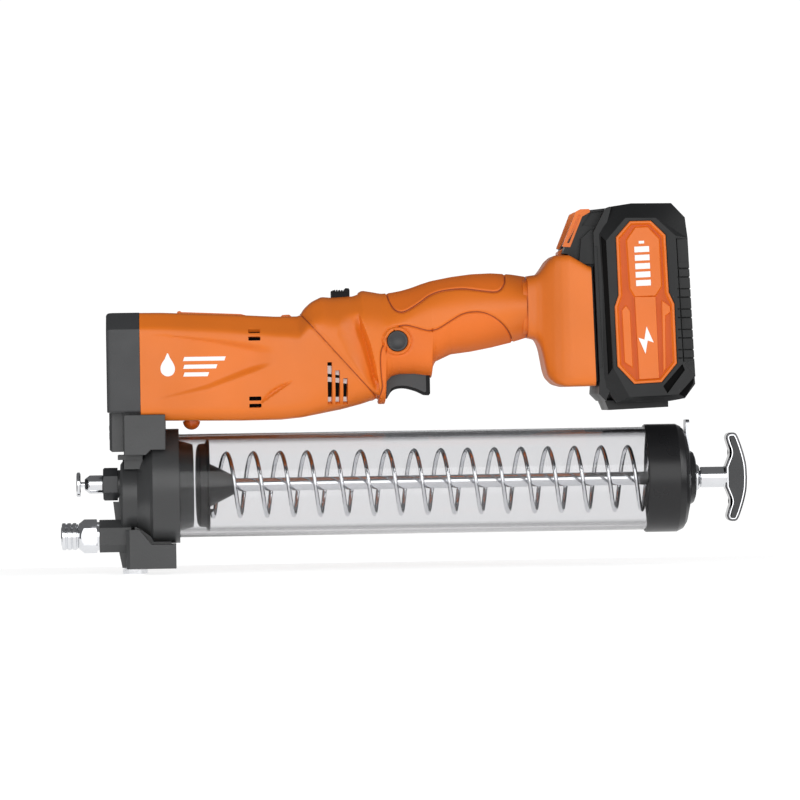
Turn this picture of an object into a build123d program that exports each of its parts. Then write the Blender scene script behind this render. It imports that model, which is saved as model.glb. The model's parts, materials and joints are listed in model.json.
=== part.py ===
"""Cordless grease gun: battery, motor and gearbox over a clear grease barrel.

Millimetres. The origin is the mouth of the grease outlet. +X runs back along the barrel to the
T-handle, +Z runs up from the barrel to the motor, and -Y is the tool's left side.
"""

from build123d import *
import math
import os

# ---- driving dimensions -------------------------------------------------------------------
BARREL_Z = 29.4          # barrel axis above the outlet axis
BARREL_R = 31.0          # barrel outer radius
BARREL_BORE = 28.0       # takes a 53.5 mm grease cartridge
BARREL_X = (57.0, 371.0)
MOTOR_Z = 100.8          # motor and gearbox axis
PLUNGER_X = 44.0         # pump plunger axis
PLUNGER_R = 4.2
BLEEDER_Z = 31.0         # air bleeder axis
COVER_X = (29.9, 49.0)   # gearbox cover, front to back
GRIP_END_X = 280.5       # where the grip meets the battery foot
WALL = 3.0               # moulded housing wall
SKIN = 1.6               # soft grip thickness
GAP = 0.3                # gap between pieces that move apart
RUNNING = 0.08           # radial clearance of a running fit
FOOT_TILT = 2.0          # the battery leans this far towards the front, degrees
FOOT_PIVOT = (320.0, 85.4)
BATTERY_HALF = 37.5      # half of the battery's width
FOOT_HALF = 33.0

CRANK_THROW = 5.0
GEAR_MODULE = 0.8
SUN_TEETH, PLANET_TEETH, RING_TEETH = 12, 24, 60
PLANET_ANGLES = (90, 210, 330)
PLANET_RADIUS = GEAR_MODULE * (SUN_TEETH + PLANET_TEETH) / 2
GEAR_X = (66.5, 75.5)
CASE_R = 27.9            # gear case and motor flange, inside the housing

ROD_R = 4.0
HANDLE_X = 412.4         # the T-handle's rearmost point
SPRING_X = (89.6, 370.9)
SPRING_R = 19.0
SPRING_WIRE = 2.5
SPRING_TURNS = 17.5

TRIGGER_X = (195.9, 222.0)
BUTTON = (202.3, 113.9)  # lock button centre, x and z
BUTTON_R = 6.1

MIN3 = (Align.CENTER, Align.CENTER, Align.MIN)


# ---- helpers ------------------------------------------------------------------------------
def block(x, y, z):
    """A box from its three (low, high) ranges."""
    size = [b - a for a, b in (x, y, z)]
    return Pos(x[0], y[0], z[0]) * Box(*size, align=(Align.MIN,) * 3)


def rod_x(radius, x, y=0.0, z=0.0):
    """A cylinder along X between x[0] and x[1]."""
    return Pos(x[0], y, z) * Rot(0, 90, 0) * Cylinder(radius, x[1] - x[0], align=MIN3)


def rod_y(radius, y, x, z):
    """A cylinder along Y between y[0] and y[1]."""
    return Pos(x, y[0], z) * Rot(-90, 0, 0) * Cylinder(radius, y[1] - y[0], align=MIN3)


def rod_z(radius, z, x, y=0.0):
    """A cylinder along Z between z[0] and z[1]."""
    return Pos(x, y, z[0]) * Cylinder(radius, z[1] - z[0], align=MIN3)


def hex_x(across_flats, x, y=0.0, z=0.0):
    """A hexagonal bar along X with a flat face on each side in Y."""
    face = Plane.YZ * RegularPolygon(across_flats / 2, 6, major_radius=False, rotation=30)
    return Pos(x[0], y, z) * extrude(face, x[1] - x[0], dir=(1, 0, 0))


def slab(outline, y):
    """A closed XZ outline, as points or edges, extruded from y[0] to y[1]."""
    if isinstance(outline[0], tuple):
        wire = Polyline(*[(px, 0, pz) for px, pz in outline], close=True)
        face = make_face(wire.edges())
    else:
        face = make_face(outline)
    return Pos(0, y[0], 0) * extrude(face, y[1] - y[0], dir=(0, 1, 0))


def turned(profile, z=0.0):
    """(x, radius) points turned about an axis along X at height z."""
    wire = Polyline(*[(px, 0, pr) for px, pr in profile], close=True)
    return Pos(0, 0, z) * revolve(make_face(wire.edges()), Axis.X, 360)


def section(x, top, bottom, half, r_top, r_bottom, inset=0.0):
    """A rounded rectangle in the plane X=x, drawn in by inset all round."""
    top, bottom, half = top - inset, bottom + inset, half - inset
    r_top, r_bottom = r_top - inset, r_bottom - inset
    corners = [(1, top, r_top), (-1, top, r_top), (-1, bottom, r_bottom), (1, bottom, r_bottom)]
    ends, arcs = [], []
    for side, z, r in corners:
        up = 1 if z == top else -1
        centre_y, centre_z = side * (half - r), z - up * r
        on_side = (x, side * half, centre_z)
        on_flat = (x, centre_y, z)
        middle = (x, centre_y + side * r * math.sqrt(0.5), centre_z + up * r * math.sqrt(0.5))
        first, last = (on_side, on_flat) if side == up else (on_flat, on_side)
        arcs.append(ThreePointArc(first, middle, last))
        ends.append((first, last))
    lines = [Line(ends[i][1], ends[(i + 1) % 4][0]) for i in range(4)]
    return Face(Wire([edge for pair in zip(arcs, lines) for edge in pair]))


def coil(radius, wire, length, turns):
    """A helical spring of round wire along +Z, from z=0 to z=length over the wire."""
    pitch = (length - 2 * wire) / turns
    path = Pos(0, 0, wire) * Helix(pitch, length - 2 * wire, radius)
    profile = Plane(origin=path @ 0, z_dir=path % 0) * Circle(wire / 2)
    return sweep(profile, path)


def left(shape):
    return shape & block((-50, 450), (-80, 0), (-60, 260))


def right(shape):
    return shape & block((-50, 450), (0, 80), (-60, 260))


def leaned(shape):
    """Turns a shape of the foot or battery from upright to its lean."""
    return Pos(FOOT_PIVOT[0], 0, FOOT_PIVOT[1]) * Rot(0, -FOOT_TILT, 0) * Pos(
        -FOOT_PIVOT[0], 0, -FOOT_PIVOT[1]
    ) * shape


# ---- housing ------------------------------------------------------------------------------
# x, top, bottom, half width, top corner radius, bottom corner radius
HOUSING_STATIONS = [
    (49.0, 133.0, 68.6, 32.0, 11.0, 6.5),
    (80.0, 132.0, 68.2, 32.3, 11.0, 6.5),
    (112.0, 130.7, 68.0, 32.5, 11.0, 7.0),
    (138.0, 129.9, 68.6, 32.3, 11.5, 8.0),
    (147.0, 133.5, 69.7, 31.8, 12.5, 9.0),
    (157.0, 141.2, 71.5, 30.8, 14.0, 10.0),
    (168.0, 142.6, 73.6, 29.4, 14.5, 11.0),
    (181.0, 145.0, 76.2, 27.2, 14.5, 11.0),
    (191.0, 143.4, 77.6, 25.0, 14.0, 10.5),
    (200.0, 143.4, 83.0, 22.8, 14.0, 10.5),
    (212.0, 146.2, 90.0, 20.8, 14.0, 11.0),
    (222.0, 149.8, 96.5, 19.4, 14.0, 12.0),
    (232.0, 152.0, 103.0, 18.6, 14.5, 13.5),
    (245.0, 154.0, 106.4, 18.4, 15.0, 14.5),
    (260.0, 154.1, 109.4, 18.4, 15.0, 14.5),
    (GRIP_END_X, 151.9, 114.6, 18.8, 15.0, 14.5),
]
TRIGGER_ARCH = [(195.6, 60), (195.6, 88.6), (198.9, 92.6), (204, 94), (213, 93.4), (222.3, 92),
                (222.3, 60)]
ARCH_LINING = [(193.0, 60), (193.0, 90), (197.4, 95), (203.8, 96.8), (213.2, 96.2), (225, 94.6), (225, 60)]
PALM_LINE = [(196.8, 143.5), (198.6, 137), (204.3, 131.3), (212.2, 134.2), (222.5, 141),
             (241.7, 144.4), (260.5, 142.6), (266.6, 146), (268.0, 153.5)]
FINGER_LINE = [(200.6, 121.6), (208.4, 123.4), (222.5, 120), (235.4, 126), (249, 130.8),
               (263, 125.6), (272.5, 113)]
FLAP_LINE = [(190.3, 76), (191.0, 95), (194.6, 113)]


def housing_loft(inset):
    """The housing's outer shape drawn in by inset. An inner one runs out past both open ends."""
    rows = [list(row) for row in HOUSING_STATIONS]
    if inset:
        rows[0][0] -= 1.0
        rows[-1][0] += 1.0
    return loft([section(*row, inset=inset) for row in rows], ruled=True)


def palm_region(grow=0.0):
    """The part of the grip under the palm, above the wavy line."""
    line = Spline(*[(x, 0, z - grow) for x, z in PALM_LINE])
    start, end = line @ 0, line @ 1
    roof = Polyline(end, (end.X + grow, 0, 170), (start.X - grow, 0, 170), start)
    return slab([*line.edges(), *roof.edges()], (-40, 40))


def finger_region(grow=0.0):
    """The part of the grip under the fingers, from the trigger guard back."""
    line = Spline(*[(x, 0, z + grow) for x, z in FINGER_LINE])
    flap = Spline(*[(x - grow, 0, z) for x, z in FLAP_LINE])
    floor = Polyline(line @ 1, (272.5 + grow, 0, 60), (190.3 - grow, 0, 60), flap @ 0)
    top = Line(flap @ 1, line @ 0)
    return slab([*line.edges(), *floor.edges(), *flap.edges(), *top.edges()], (-40, 40))


def vent_slots(side):
    """Cooling slots through one side wall."""
    slots = []
    for x, low, high in ((160.0, 76.7, 101.3), (164.8, 76.6, 96.4), (169.4, 76.5, 91.6)):
        slots.append(block((x, x + 2.2), side, (low, high)))
    for z in (78.7, 82.4, 117.0, 120.8):
        slots.append(block((110.0, 116.5), side, (z, z + 2.0)))
    return slots


def lock_ring():
    """The raised ring round the lock button, on the left half."""
    return rod_y(8.1, (-23.0, -17.0), *BUTTON)


def top_ribs():
    """The moulded rib and the two bumps along the top seam."""
    rib = slab([(73, 130), (73, 133.6), (75, 133.4), (111, 131.6), (113, 130)], (-5, 5))
    front_bump = rod_y(1.6, (-4, 4), 72.6, 132.8)
    rear_bump = slab([(132, 128), (134, 130.9), (138.5, 130.9), (140.5, 128)], (-7, 7))
    return rib + front_bump + rear_bump


def screw_points():
    """Where the case screws go in, from the right side: x, z."""
    return [(100, 73.8), (128, 125.4), (152, 131), (186, 136), (187, 83), (232, 128), (270, 130)]


def housing_halves():
    """Left and right case halves and the two soft grips."""
    outer, base, inner = housing_loft(0), housing_loft(SKIN), housing_loft(WALL)
    skin = outer - base
    palm = skin & palm_region()
    finger = skin & finger_region()
    arch = slab(TRIGGER_ARCH, (-40, 40))
    finger = finger - arch
    shell = outer - (skin & palm_region(0.5)) - (skin & finger_region(0.5))
    shell = shell - inner
    # solid ends round the trigger, so that the guard and its post stay strong
    post = (inner & block((188.5, 195.5), (-30, 30), (70, 94))) - arch
    lining = outer & slab(ARCH_LINING, (-40, 40))
    shell = (shell + post + (lining - (skin & finger_region(0.5)))) - arch
    trigger_slot = block((195.6, 222.3), (-8.3, 8.3), (60, 106))
    slider_seat = block((163.3, 179.8), (-6.5, 6.5), (140.9, 160))
    slider_slot = block((165.0, 177.5), (-3.3, 3.3), (130, 142))
    neck_mouth = block((276, 290), (-12, 12), (120, 146))
    for cut in (trigger_slot, slider_seat, slider_slot, neck_mouth):
        shell = shell - cut
        finger = finger - cut
    palm = palm - slider_seat
    button_hole = rod_y(BUTTON_R + GAP, (-40, -10), *BUTTON)
    button_pad = rod_y(8.6, (-40, -10), *BUTTON)
    shell = shell + (top_ribs() - inner)
    left_half = left(shell) + lock_ring() - button_hole
    right_half = right(shell)
    finger = finger - (button_pad & block((180, 230), (-40, 0), (90, 140)))
    for slot in vent_slots((-40, -20)):
        left_half = left_half - slot
    for slot in vent_slots((20, 40)):
        right_half = right_half - slot
    light_hole = rod_z(4.4, (60, 74), 79.0)
    left_half, right_half = left_half - light_hole, right_half - light_hole
    for x, z in screw_points():
        hole = rod_y(3.3, (12, 40), x, z)
        right_half, finger = right_half - hole, finger - hole
    return left_half, right_half, palm, finger


def half_width_at(x):
    """Half width of the housing at x, between its stations."""
    for a, b in zip(HOUSING_STATIONS, HOUSING_STATIONS[1:]):
        if a[0] <= x <= b[0]:
            return a[3] + (b[3] - a[3]) * (x - a[0]) / (b[0] - a[0])
    return HOUSING_STATIONS[-1][3]


def case_screws():
    """Cross-head case screws, sunk into the right half."""
    screws = []
    for x, z in screw_points():
        face = half_width_at(x) - 2.6
        head = rod_y(2.9, (face - 2.2, face), x, z)
        shank = rod_y(1.5, (2.0, face - 2.2), x, z)
        cross = block((x - 2, x + 2), (face - 1, face + 1), (z - 0.4, z + 0.4))
        cross = cross + block((x - 0.4, x + 0.4), (face - 1, face + 1), (z - 2, z + 2))
        screws.append(head + shank - cross)
    return Compound(screws)


# ---- battery foot -------------------------------------------------------------------------
RAIL_X = (304.0, 316.3)  # the battery's rail block runs between these, upright


def battery_foot():
    """Neck and foot with the rails that the battery slides on."""
    outline = [(290.5, 97.5), (294.5, 89.0), (302.0, 85.4), (320.0, 85.4), (320.0, 156.5),
               (308.5, 163.3), (301.0, 164.6), (295.8, 162.8), (292.6, 157.0)]
    body = slab(outline, (-FOOT_HALF, FOOT_HALF))
    front = [e for e in body.edges() if e.center().X < 297 and abs(e.center().Y) > 30]
    body = fillet(front, 5.0)
    cavity = block((RAIL_X[0], 330), (-24.4, 24.4), (88, 200))
    cavity = cavity + block(RAIL_X, (-27.6, 27.6), (88, 200))
    hollow = block((295.5, 301.5), (-26, 26), (92, 152))
    catch = block((302.4, 305), (-9, 9), (157, 200))
    body = leaned(body - cavity - hollow - catch)
    neck_sections = [
        (GRIP_END_X + 0.6, 151.7, 114.9, 18.7, 15.0, 14.5),
        (286.0, 151.6, 115.6, 19.6, 15.0, 14.0),
        (290.5, 153.0, 113.5, 23.0, 15.0, 12.0),
        (294.0, 156.5, 108.5, 28.0, 14.0, 10.0),
    ]
    neck = loft([section(*row) for row in neck_sections], ruled=True)
    wire_way = block((270, 300), (-10, 10), (122, 144))
    collar = block((274, GRIP_END_X + 2), (-11.6, 11.6), (120.4, 145.6))
    return (body + neck + collar) - wire_way


def terminal_block():
    """Contact carrier at the top of the foot's cavity, with its two blades."""
    carrier = block((RAIL_X[0], 308.0), (-17, 17), (130, 156))
    blades = [block((308.0, 314.5), (y - 0.5, y + 0.5), (132, 148)) for y in (-12, -4, 4, 12)]
    shape = carrier
    for blade in blades:
        shape = shape + blade
    return leaned(shape)


# ---- gearbox cover and bracket ------------------------------------------------------------
def gearbox_cover():
    """The dark casting in front of the housing, hollow for the crank and yoke."""
    outer = loft([
        section(COVER_X[0], 131.8, 73.8, 30.6, 10.5, 3.0),
        section(COVER_X[0] + 1.2, 133.0, 73.8, 31.8, 11.0, 3.0),
        section(COVER_X[1] - 0.2, 133.0, 73.8, 32.0, 11.0, 3.0),
    ], ruled=True)
    inner = block((33.0, 60), (-27, 27), (78, 129))
    way_down = block((38.6, 52.0), (-14, 14), (60, 90))
    screw_holes = [rod_x(2.9, (20, 60), y, z) for y, z in COVER_SCREWS]
    shape = outer - inner - way_down
    for y, z in COVER_SCREWS:
        shape = shape + rod_x(5.0, (31.5, COVER_X[1] - 0.2), y, z)
    for hole in screw_holes:
        shape = shape - hole
    heads = [rod_x(4.6, (20, 33.0), y, z) for y, z in COVER_SCREWS]
    for head in heads:
        shape = shape - head
    return shape


COVER_SCREWS = [(-24.0, 80.5), (24.0, 80.5), (-22.5, 122.0), (22.5, 122.0)]


def socket_screws(points, head_x, length, thread=2.5, head=4.2):
    """Hex-socket screws along X, heads forward."""
    screws = []
    for y, z in points:
        shank = rod_x(thread, (head_x + 3.4, head_x + length), y, z)
        socket = hex_x(4.0, (head_x - 1, head_x + 2.2), y, z)
        screws.append(rod_x(head, (head_x, head_x + 3.4), y, z) + shank - socket)
    return Compound(screws)


BRACKET_TOP = 73.6
GUIDE_SCREWS = [(-14.0, 62.0), (14.0, 62.0)]


def guide_cover():
    """Front plate over the yoke guide, below the gearbox cover."""
    outline = [(30.1, BRACKET_TOP), (30.1, 51.6), (31.6, 50.4), (38.2, 50.4), (38.2, BRACKET_TOP)]
    shape = slab(outline, (-21, 21))
    shape = chamfer(shape.edges().group_by(Axis.X)[0].filter_by(Axis.Z), 1.5)
    for y, z in GUIDE_SCREWS:
        shape = shape - rod_x(2.7, (20, 60), y, z) - rod_x(4.5, (20, 33.6), y, z)
    return shape


def head_bracket():
    """Steel bracket that carries the pump head under the gearbox."""
    outline = [(38.4, BRACKET_TOP), (38.4, 50.8), (50.6, 50.8), (53.4, 54.0), (63.5, 54.0),
               (63.5, 68.0), (63.5, 68.4), (49.0, 68.4), (49.0, BRACKET_TOP)]
    shape = slab(outline, (-22.5, 22.5))
    shape = shape - rod_z(4.8, (40, 62), PLUNGER_X)
    shape = shape - block((38.0, 48.9), (-8.0, 8.0), (61.0, 80.0))
    room_r = SOCKET_R + 0.2
    head_room = turned([(44.0, 0), (44.0, 18.2), (SOCKET_X, 31.4), (SOCKET_X, room_r), (80, room_r),
                        (80, 0)], BARREL_Z)
    shape = shape - head_room
    for y, z in GUIDE_SCREWS:
        shape = shape - rod_x(2.6, (30, 48.0), y, z)
    return shape


# ---- pump head ----------------------------------------------------------------------------
HEAD_HALF = 18.0
DISC_Z, DISC_R = 24.0, 20.6  # the head's front disc sits lower than the barrel
SEAL_Z = (44.6, 47.8)
SOCKET_R = 34.2
INSERT_R = 27.4          # clear of the barrel's bore
FLANGE_TOP = 50.8
SOCKET_X = 53.6          # face where the socket ring meets the head


def pump_head():
    """Cast head: plunger bore, outlet boss, bleeder boss and the cone behind the barrel socket."""
    disc = turned([(36.0, 0), (36.0, DISC_R - 2.0), (37.4, DISC_R), (46.0, DISC_R), (46.0, 0)], DISC_Z)
    front_ring = Plane(origin=(46.0, 0, DISC_Z), z_dir=(1, 0, 0)) * Circle(DISC_R)
    rear_ring = Plane(origin=(SOCKET_X, 0, BARREL_Z), z_dir=(1, 0, 0)) * Circle(BARREL_R)
    disc = disc + loft([front_ring, rear_ring])
    base = slab([(39.1, 3.8), (39.1, -19.6), (68.7, -19.6), (68.7, -5.4), (54.1, -5.2), (47.0, 3.8)],
                (-HEAD_HALF, HEAD_HALF))
    base = chamfer(base.edges().filter_by(Axis.Z).group_by(Axis.X)[0], 2.0)
    flange = block((34.8, 49.5), (-20, 20), (45.6, 48.4))
    flange = flange + block((38.4, 49.5), (-17, 17), (40.0, FLANGE_TOP))
    rib = slab([(31.4, 20.4), (33.0, 6.0), (33.8, -6.0), (36.4, -19.2), (41.0, -19.2), (41.0, 24.0),
                (34.8, 24.0), (34.8, 20.4)], (-4, 4))
    boss = block((23.0, 42.0), (-9.7, 9.7), (-9.7, 9.7))
    boss = chamfer(boss.edges().filter_by(Axis.X), 4.6)
    bleed_boss = rod_x(7.2, (34.4, 40.0), 0, BLEEDER_Z)
    body = disc + base + flange + rib + boss + bleed_boss
    ring_room = turned([(SOCKET_X, 0), (SOCKET_X, SOCKET_R + 0.1), (80, SOCKET_R + 0.1), (80, 0)], BARREL_Z)
    body = body - ring_room
    bore = rod_z(PLUNGER_R + 0.05, (-12, 60), PLUNGER_X) + rod_z(4.8, (20, 60), PLUNGER_X)
    bore = bore + rod_z(6.5, (-25, -11.5), PLUNGER_X) + rod_z(6.6, SEAL_Z, PLUNGER_X)
    inlet = rod_x(8.0, (50.5, 60), 0, BARREL_Z) + rod_x(3.0, (PLUNGER_X, 53), 0, 24.4)
    outlet = rod_x(2.4, (24, PLUNGER_X)) + rod_x(4.2, (20, 36.2))
    port = rod_x(6.5, (20, 28.0))
    bleed = rod_x(1.4, (30, PLUNGER_X), 0, BLEEDER_Z) + rod_x(4.2, (25, 38.0), 0, BLEEDER_Z)
    for hole in (bore, inlet, outlet, port, bleed):
        body = body - hole
    return body


def plunger_seal():
    """Packing ring round the plunger, under the bracket."""
    return rod_z(6.6, SEAL_Z, PLUNGER_X) - rod_z(PLUNGER_R + 0.05, (30, 60), PLUNGER_X)


def head_socket():
    """The ring that the barrel screws into, with the insert that reaches into the barrel."""
    thread_r = BARREL_R + RUNNING
    return turned([
        (SOCKET_X, 8.0), (SOCKET_X, BARREL_R), (55.4, SOCKET_R), (71.2, SOCKET_R), (71.2, thread_r),
        (56.0, thread_r), (56.0, INSERT_R), (71.6, INSERT_R), (80.1, 24.9), (80.1, 12.0), (70.0, 8.0),
    ], BARREL_Z)


def relief_plug():
    """Hexagon plug that closes the plunger bore from below."""
    head = Pos(PLUNGER_X, 0, -22.8) * extrude(RegularPolygon(7.4, 6), 3.2)
    washer = rod_z(7.2, (-20.4, -19.6), PLUNGER_X) - rod_z(6.5, (-21, -19), PLUNGER_X)
    shank = rod_z(6.5, (-19.8, -12.2), PLUNGER_X)
    return head + shank + washer


def outlet_fitting():
    """Hexagon fitting with the nose that the hose screws into."""
    across = 17.6
    cone = turned([(10.0, 0), (10.0, 7.4), (13.6, 10.8), (22.0, 10.8), (22.0, 0)])
    hexagon = hex_x(across, (10.8, 21.6)) & cone
    nose = rod_x(6.0, (0.0, 12.0))
    shank = rod_x(6.5, (21.6, 28.0)) + rod_x(8.6, (21.6, 22.9))
    return nose + hexagon + shank - rod_x(4.5, (-1, 10.0)) - rod_x(2.2, (5, 40))


def coupler_sleeve():
    """Locking sleeve with three grip rings, sliding on the outlet's nose."""
    profile = [(0.5, 6.15), (0.5, 7.6)]
    for start in (0.5, 3.7, 6.9):
        profile += [(start + 0.3, 8.25), (start + 2.3, 8.25), (start + 2.6, 7.6)]
        if start < 6:
            profile += [(start + 3.2, 7.6)]
    profile += [(9.7, 7.2), (9.7, 6.15)]
    return turned(profile[:1] + profile[2:])


def bleeder_nut():
    """Black hexagon body of the air bleeder."""
    nut = hex_x(17.0, (25.6, 34.3), 0, BLEEDER_Z) & turned(
        [(25.0, 0), (25.0, 8.4), (26.4, 9.8), (34.4, 9.8), (34.4, 0)], BLEEDER_Z)
    stub = rod_x(4.15, (34.3, 37.6), 0, BLEEDER_Z)
    return nut + stub - rod_x(1.8, (20, 40), 0, BLEEDER_Z) - rod_x(4.0, (20, 28.0), 0, BLEEDER_Z)


def bleeder_sleeve():
    """Plated sleeve that guides the bleeder's push pin."""
    sleeve = turned([(14.6, 1.8), (14.6, 3.6), (16.6, 5.3), (25.5, 5.3), (25.5, 3.95), (27.9, 3.95),
                     (27.9, 1.8)], BLEEDER_Z)
    return sleeve


def bleeder_pin():
    """Push pin with its button head."""
    return turned([(9.7, 0), (9.7, 6.9), (10.1, 7.3), (11.8, 7.3), (12.2, 6.9), (12.2, 1.55),
                   (33.0, 1.55), (33.0, 0)], BLEEDER_Z)


def check_ball():
    return Pos(34.3, 0, 0) * Sphere(3.0)


def check_spring():
    """Light spring that seats the check ball."""
    return Pos(28.0, 0, 0) * Rot(0, 90, 0) * coil(2.6, 0.5, 4.0, 2.5)


# ---- plunger and gear train ---------------------------------------------------------------
PIN_R = 4.0
YOKE_X = (41.2, 47.0)


def yoke():
    """Frame that the crank pin drives up and down. Its window is open enough to pose the two apart."""
    centre = MOTOR_Z + CRANK_THROW
    window_half = CRANK_THROW + PIN_R + 0.3
    window_tall = 2 * CRANK_THROW + PIN_R + 0.3
    side = window_half + 3.6
    frame = block(YOKE_X, (-side, side), (centre - window_tall - 4, centre + window_tall + 3))
    window = block((30, 60), (-window_half, window_half), (centre - window_tall, centre + window_tall))
    stem = block(YOKE_X, (-5, 5), (76.5, centre - window_tall - 3))
    hole = rod_z(PLUNGER_R, (70, 82.0), PLUNGER_X)
    foot = rod_z(6.4, (73.4, 82.0), PLUNGER_X) & block((39.6, 48.4), (-7, 7), (70, 90))
    return (frame - window + stem + foot) - hole


def plunger():
    """Hardened pump plunger."""
    return rod_z(PLUNGER_R, (27.8, 81.9), PLUNGER_X)


def involute_gear(teeth, tip, root, thin):
    """A gear outline in the YZ plane at X=0, with a tooth centred on +Y. thin narrows each flank."""
    pitch_r = GEAR_MODULE * teeth / 2
    base_r = pitch_r * math.cos(math.radians(20))
    pressure = math.radians(20)
    half_pitch = math.pi / (2 * teeth) - thin / pitch_r + math.tan(pressure) - pressure
    start = max(base_r, root)
    radii = [start + (tip - start) * k / 3 for k in range(4)]

    def half_angle(r):
        a = math.acos(min(1.0, base_r / r))
        return half_pitch - (math.tan(a) - a)

    points = []
    for k in range(teeth):
        middle = 2 * math.pi * k / teeth
        flank = [(r, half_angle(r)) for r in radii]
        if root < base_r:
            flank = [(root, half_angle(base_r))] + flank
        for r, half in flank:
            points.append((r, middle - half))
        for r, half in reversed(flank):
            points.append((r, middle + half))
    corners = [(0, r * math.cos(a), r * math.sin(a)) for r, a in points]
    return make_face(Polyline(*corners, close=True).edges())


ADDENDUM, DEDENDUM, BACKLASH = 0.8 * GEAR_MODULE, 1.2 * GEAR_MODULE, 0.05


def spur_gear(teeth, bore, turn_by):
    """An external gear on the X axis between GEAR_X."""
    pitch_r = GEAR_MODULE * teeth / 2
    face = involute_gear(teeth, pitch_r + ADDENDUM, pitch_r - DEDENDUM, BACKLASH)
    solid = extrude(face, GEAR_X[1] - GEAR_X[0], dir=(1, 0, 0))
    return Pos(GEAR_X[0], 0, 0) * Rot(turn_by, 0, 0) * (solid - rod_x(bore, (-1, 20)))


def planet_gear(angle):
    y = PLANET_RADIUS * math.cos(math.radians(angle))
    z = PLANET_RADIUS * math.sin(math.radians(angle))
    return Pos(0, y, MOTOR_Z + z) * spur_gear(PLANET_TEETH, 2.55, 180 / PLANET_TEETH)


def sun_pinion():
    return Pos(0, 0, MOTOR_Z) * spur_gear(SUN_TEETH, 2.5, 0)


def ring_gear():
    """Fixed internal gear round the planets."""
    pitch_r = GEAR_MODULE * RING_TEETH / 2
    face = involute_gear(RING_TEETH, pitch_r + DEDENDUM, pitch_r - ADDENDUM, -BACKLASH)
    teeth = Rot(180 / RING_TEETH, 0, 0) * extrude(face, 20, dir=(1, 0, 0))
    blank = rod_x(CASE_R, (66.2, 77.0))
    return Pos(0, 0, MOTOR_Z) * (blank - Pos(60, 0, 0) * teeth)


def crank():
    """Planet carrier, output shaft and crank pin in one piece."""
    axis = dict(y=0.0, z=MOTOR_Z)
    shape = rod_x(PIN_R, (40.4, 51.0), 0, MOTOR_Z + CRANK_THROW)
    shape = shape + rod_x(11.5, (50.4, 54.0), **axis) + rod_x(6.0, (53.5, 63.0), **axis)
    shape = shape + rod_x(21.0, (62.4, 66.0), **axis)
    for angle in PLANET_ANGLES:
        y = PLANET_RADIUS * math.cos(math.radians(angle))
        z = PLANET_RADIUS * math.sin(math.radians(angle))
        shape = shape + rod_x(2.5, (65.5, 76.2), y, MOTOR_Z + z)
    return shape


def crank_bearing():
    """Ball bearing of the output shaft, as one closed ring."""
    return rod_x(12.0, (54.6, 61.6), 0, MOTOR_Z) - rod_x(6.05, (50, 70), 0, MOTOR_Z)


def bearing_plate():
    """Plate that carries the output bearing between cover and ring gear."""
    plate = rod_x(CASE_R, (54.8, 61.4), 0, MOTOR_Z) - rod_x(12.0, (50, 70), 0, MOTOR_Z)
    return plate


def motor_can():
    """Steel motor case, closed at both ends, with the fixing plate in front."""
    shell = rod_x(22.5, (80.0, 141.0), 0, MOTOR_Z) - rod_x(20.9, (82.4, 139.0), 0, MOTOR_Z)
    shell = shell + (rod_x(CASE_R, (77.2, 80.4), 0, MOTOR_Z))
    return shell - rod_x(6.5, (70, 90), 0, MOTOR_Z) - rod_x(3.2, (130, 150), 0, MOTOR_Z)


def motor_magnets():
    """The two stator magnets inside the case."""
    ring = rod_x(20.8, (88.0, 132.0), 0, MOTOR_Z) - rod_x(16.6, (80, 140), 0, MOTOR_Z)
    halves = ring - block((80, 140), (-30, 30), (MOTOR_Z - 3, MOTOR_Z + 3))
    return Compound(halves.solids())


def rotor():
    """Armature, commutator and shaft."""
    core = rod_x(16.0, (91.0, 126.0), 0, MOTOR_Z)
    for k in range(12):
        a = math.radians(30 * k)
        core = core - rod_x(1.8, (90, 127), 14.6 * math.cos(a), MOTOR_Z + 14.6 * math.sin(a))
    commutator = rod_x(8.0, (127.5, 136.0), 0, MOTOR_Z)
    return core + commutator + rod_x(2.48, (67.0, 151.0), 0, MOTOR_Z)


def motor_fan():
    """Cooling fan on the tail of the rotor shaft."""
    fan = rod_x(6.0, (142.5, 150.0), 0, MOTOR_Z) + rod_x(20.0, (142.5, 144.0), 0, MOTOR_Z)
    for k in range(9):
        blade = block((143.5, 150.0), (5.0, 19.6), (-0.8, 0.8))
        fan = fan + Pos(0, 0, MOTOR_Z) * Rot(40 * k, 0, 0) * blade
    return fan - rod_x(2.5, (130, 160), 0, MOTOR_Z)


# ---- controls -----------------------------------------------------------------------------
def trigger():
    """Sliding trigger with a hollowed finger face and its stem to the switch."""
    x0, x1 = TRIGGER_X
    finger_face = Spline((x0, 0, 79.4), (199.6, 0, 84.4), (206, 0, 85.6), (213, 0, 84.0), (218.6, 0, 81.4))
    rest = Polyline((218.6, 0, 81.4), (221.2, 0, 81.2), (x1, 0, 82.2), (x1, 0, 99.0), (x0, 0, 99.0),
                    (x0, 0, 79.4))
    shape = slab([*finger_face.edges(), *rest.edges()], (-8.0, 8.0))
    stem = rod_z(2.2, (98.5, 104.6), 209)
    return shape + stem


def trigger_spring():
    return Pos(209, 0, 99.1) * coil(3.6, 0.8, 7.2, 4.0)


def switch_module():
    """Sealed trigger switch above the trigger."""
    body = block((197.5, 224.0), (-9, 9), (106.5, 124.0)) - rod_z(2.6, (100, 111.0), 209)
    return body


def lock_button():
    """Round lock-on button with a dished face."""
    face = -22.4
    button = rod_y(BUTTON_R, (face, -13.0), *BUTTON)
    dish = Pos(BUTTON[0], face - 14.2, BUTTON[1]) * Sphere(15.0)
    return button - dish


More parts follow.
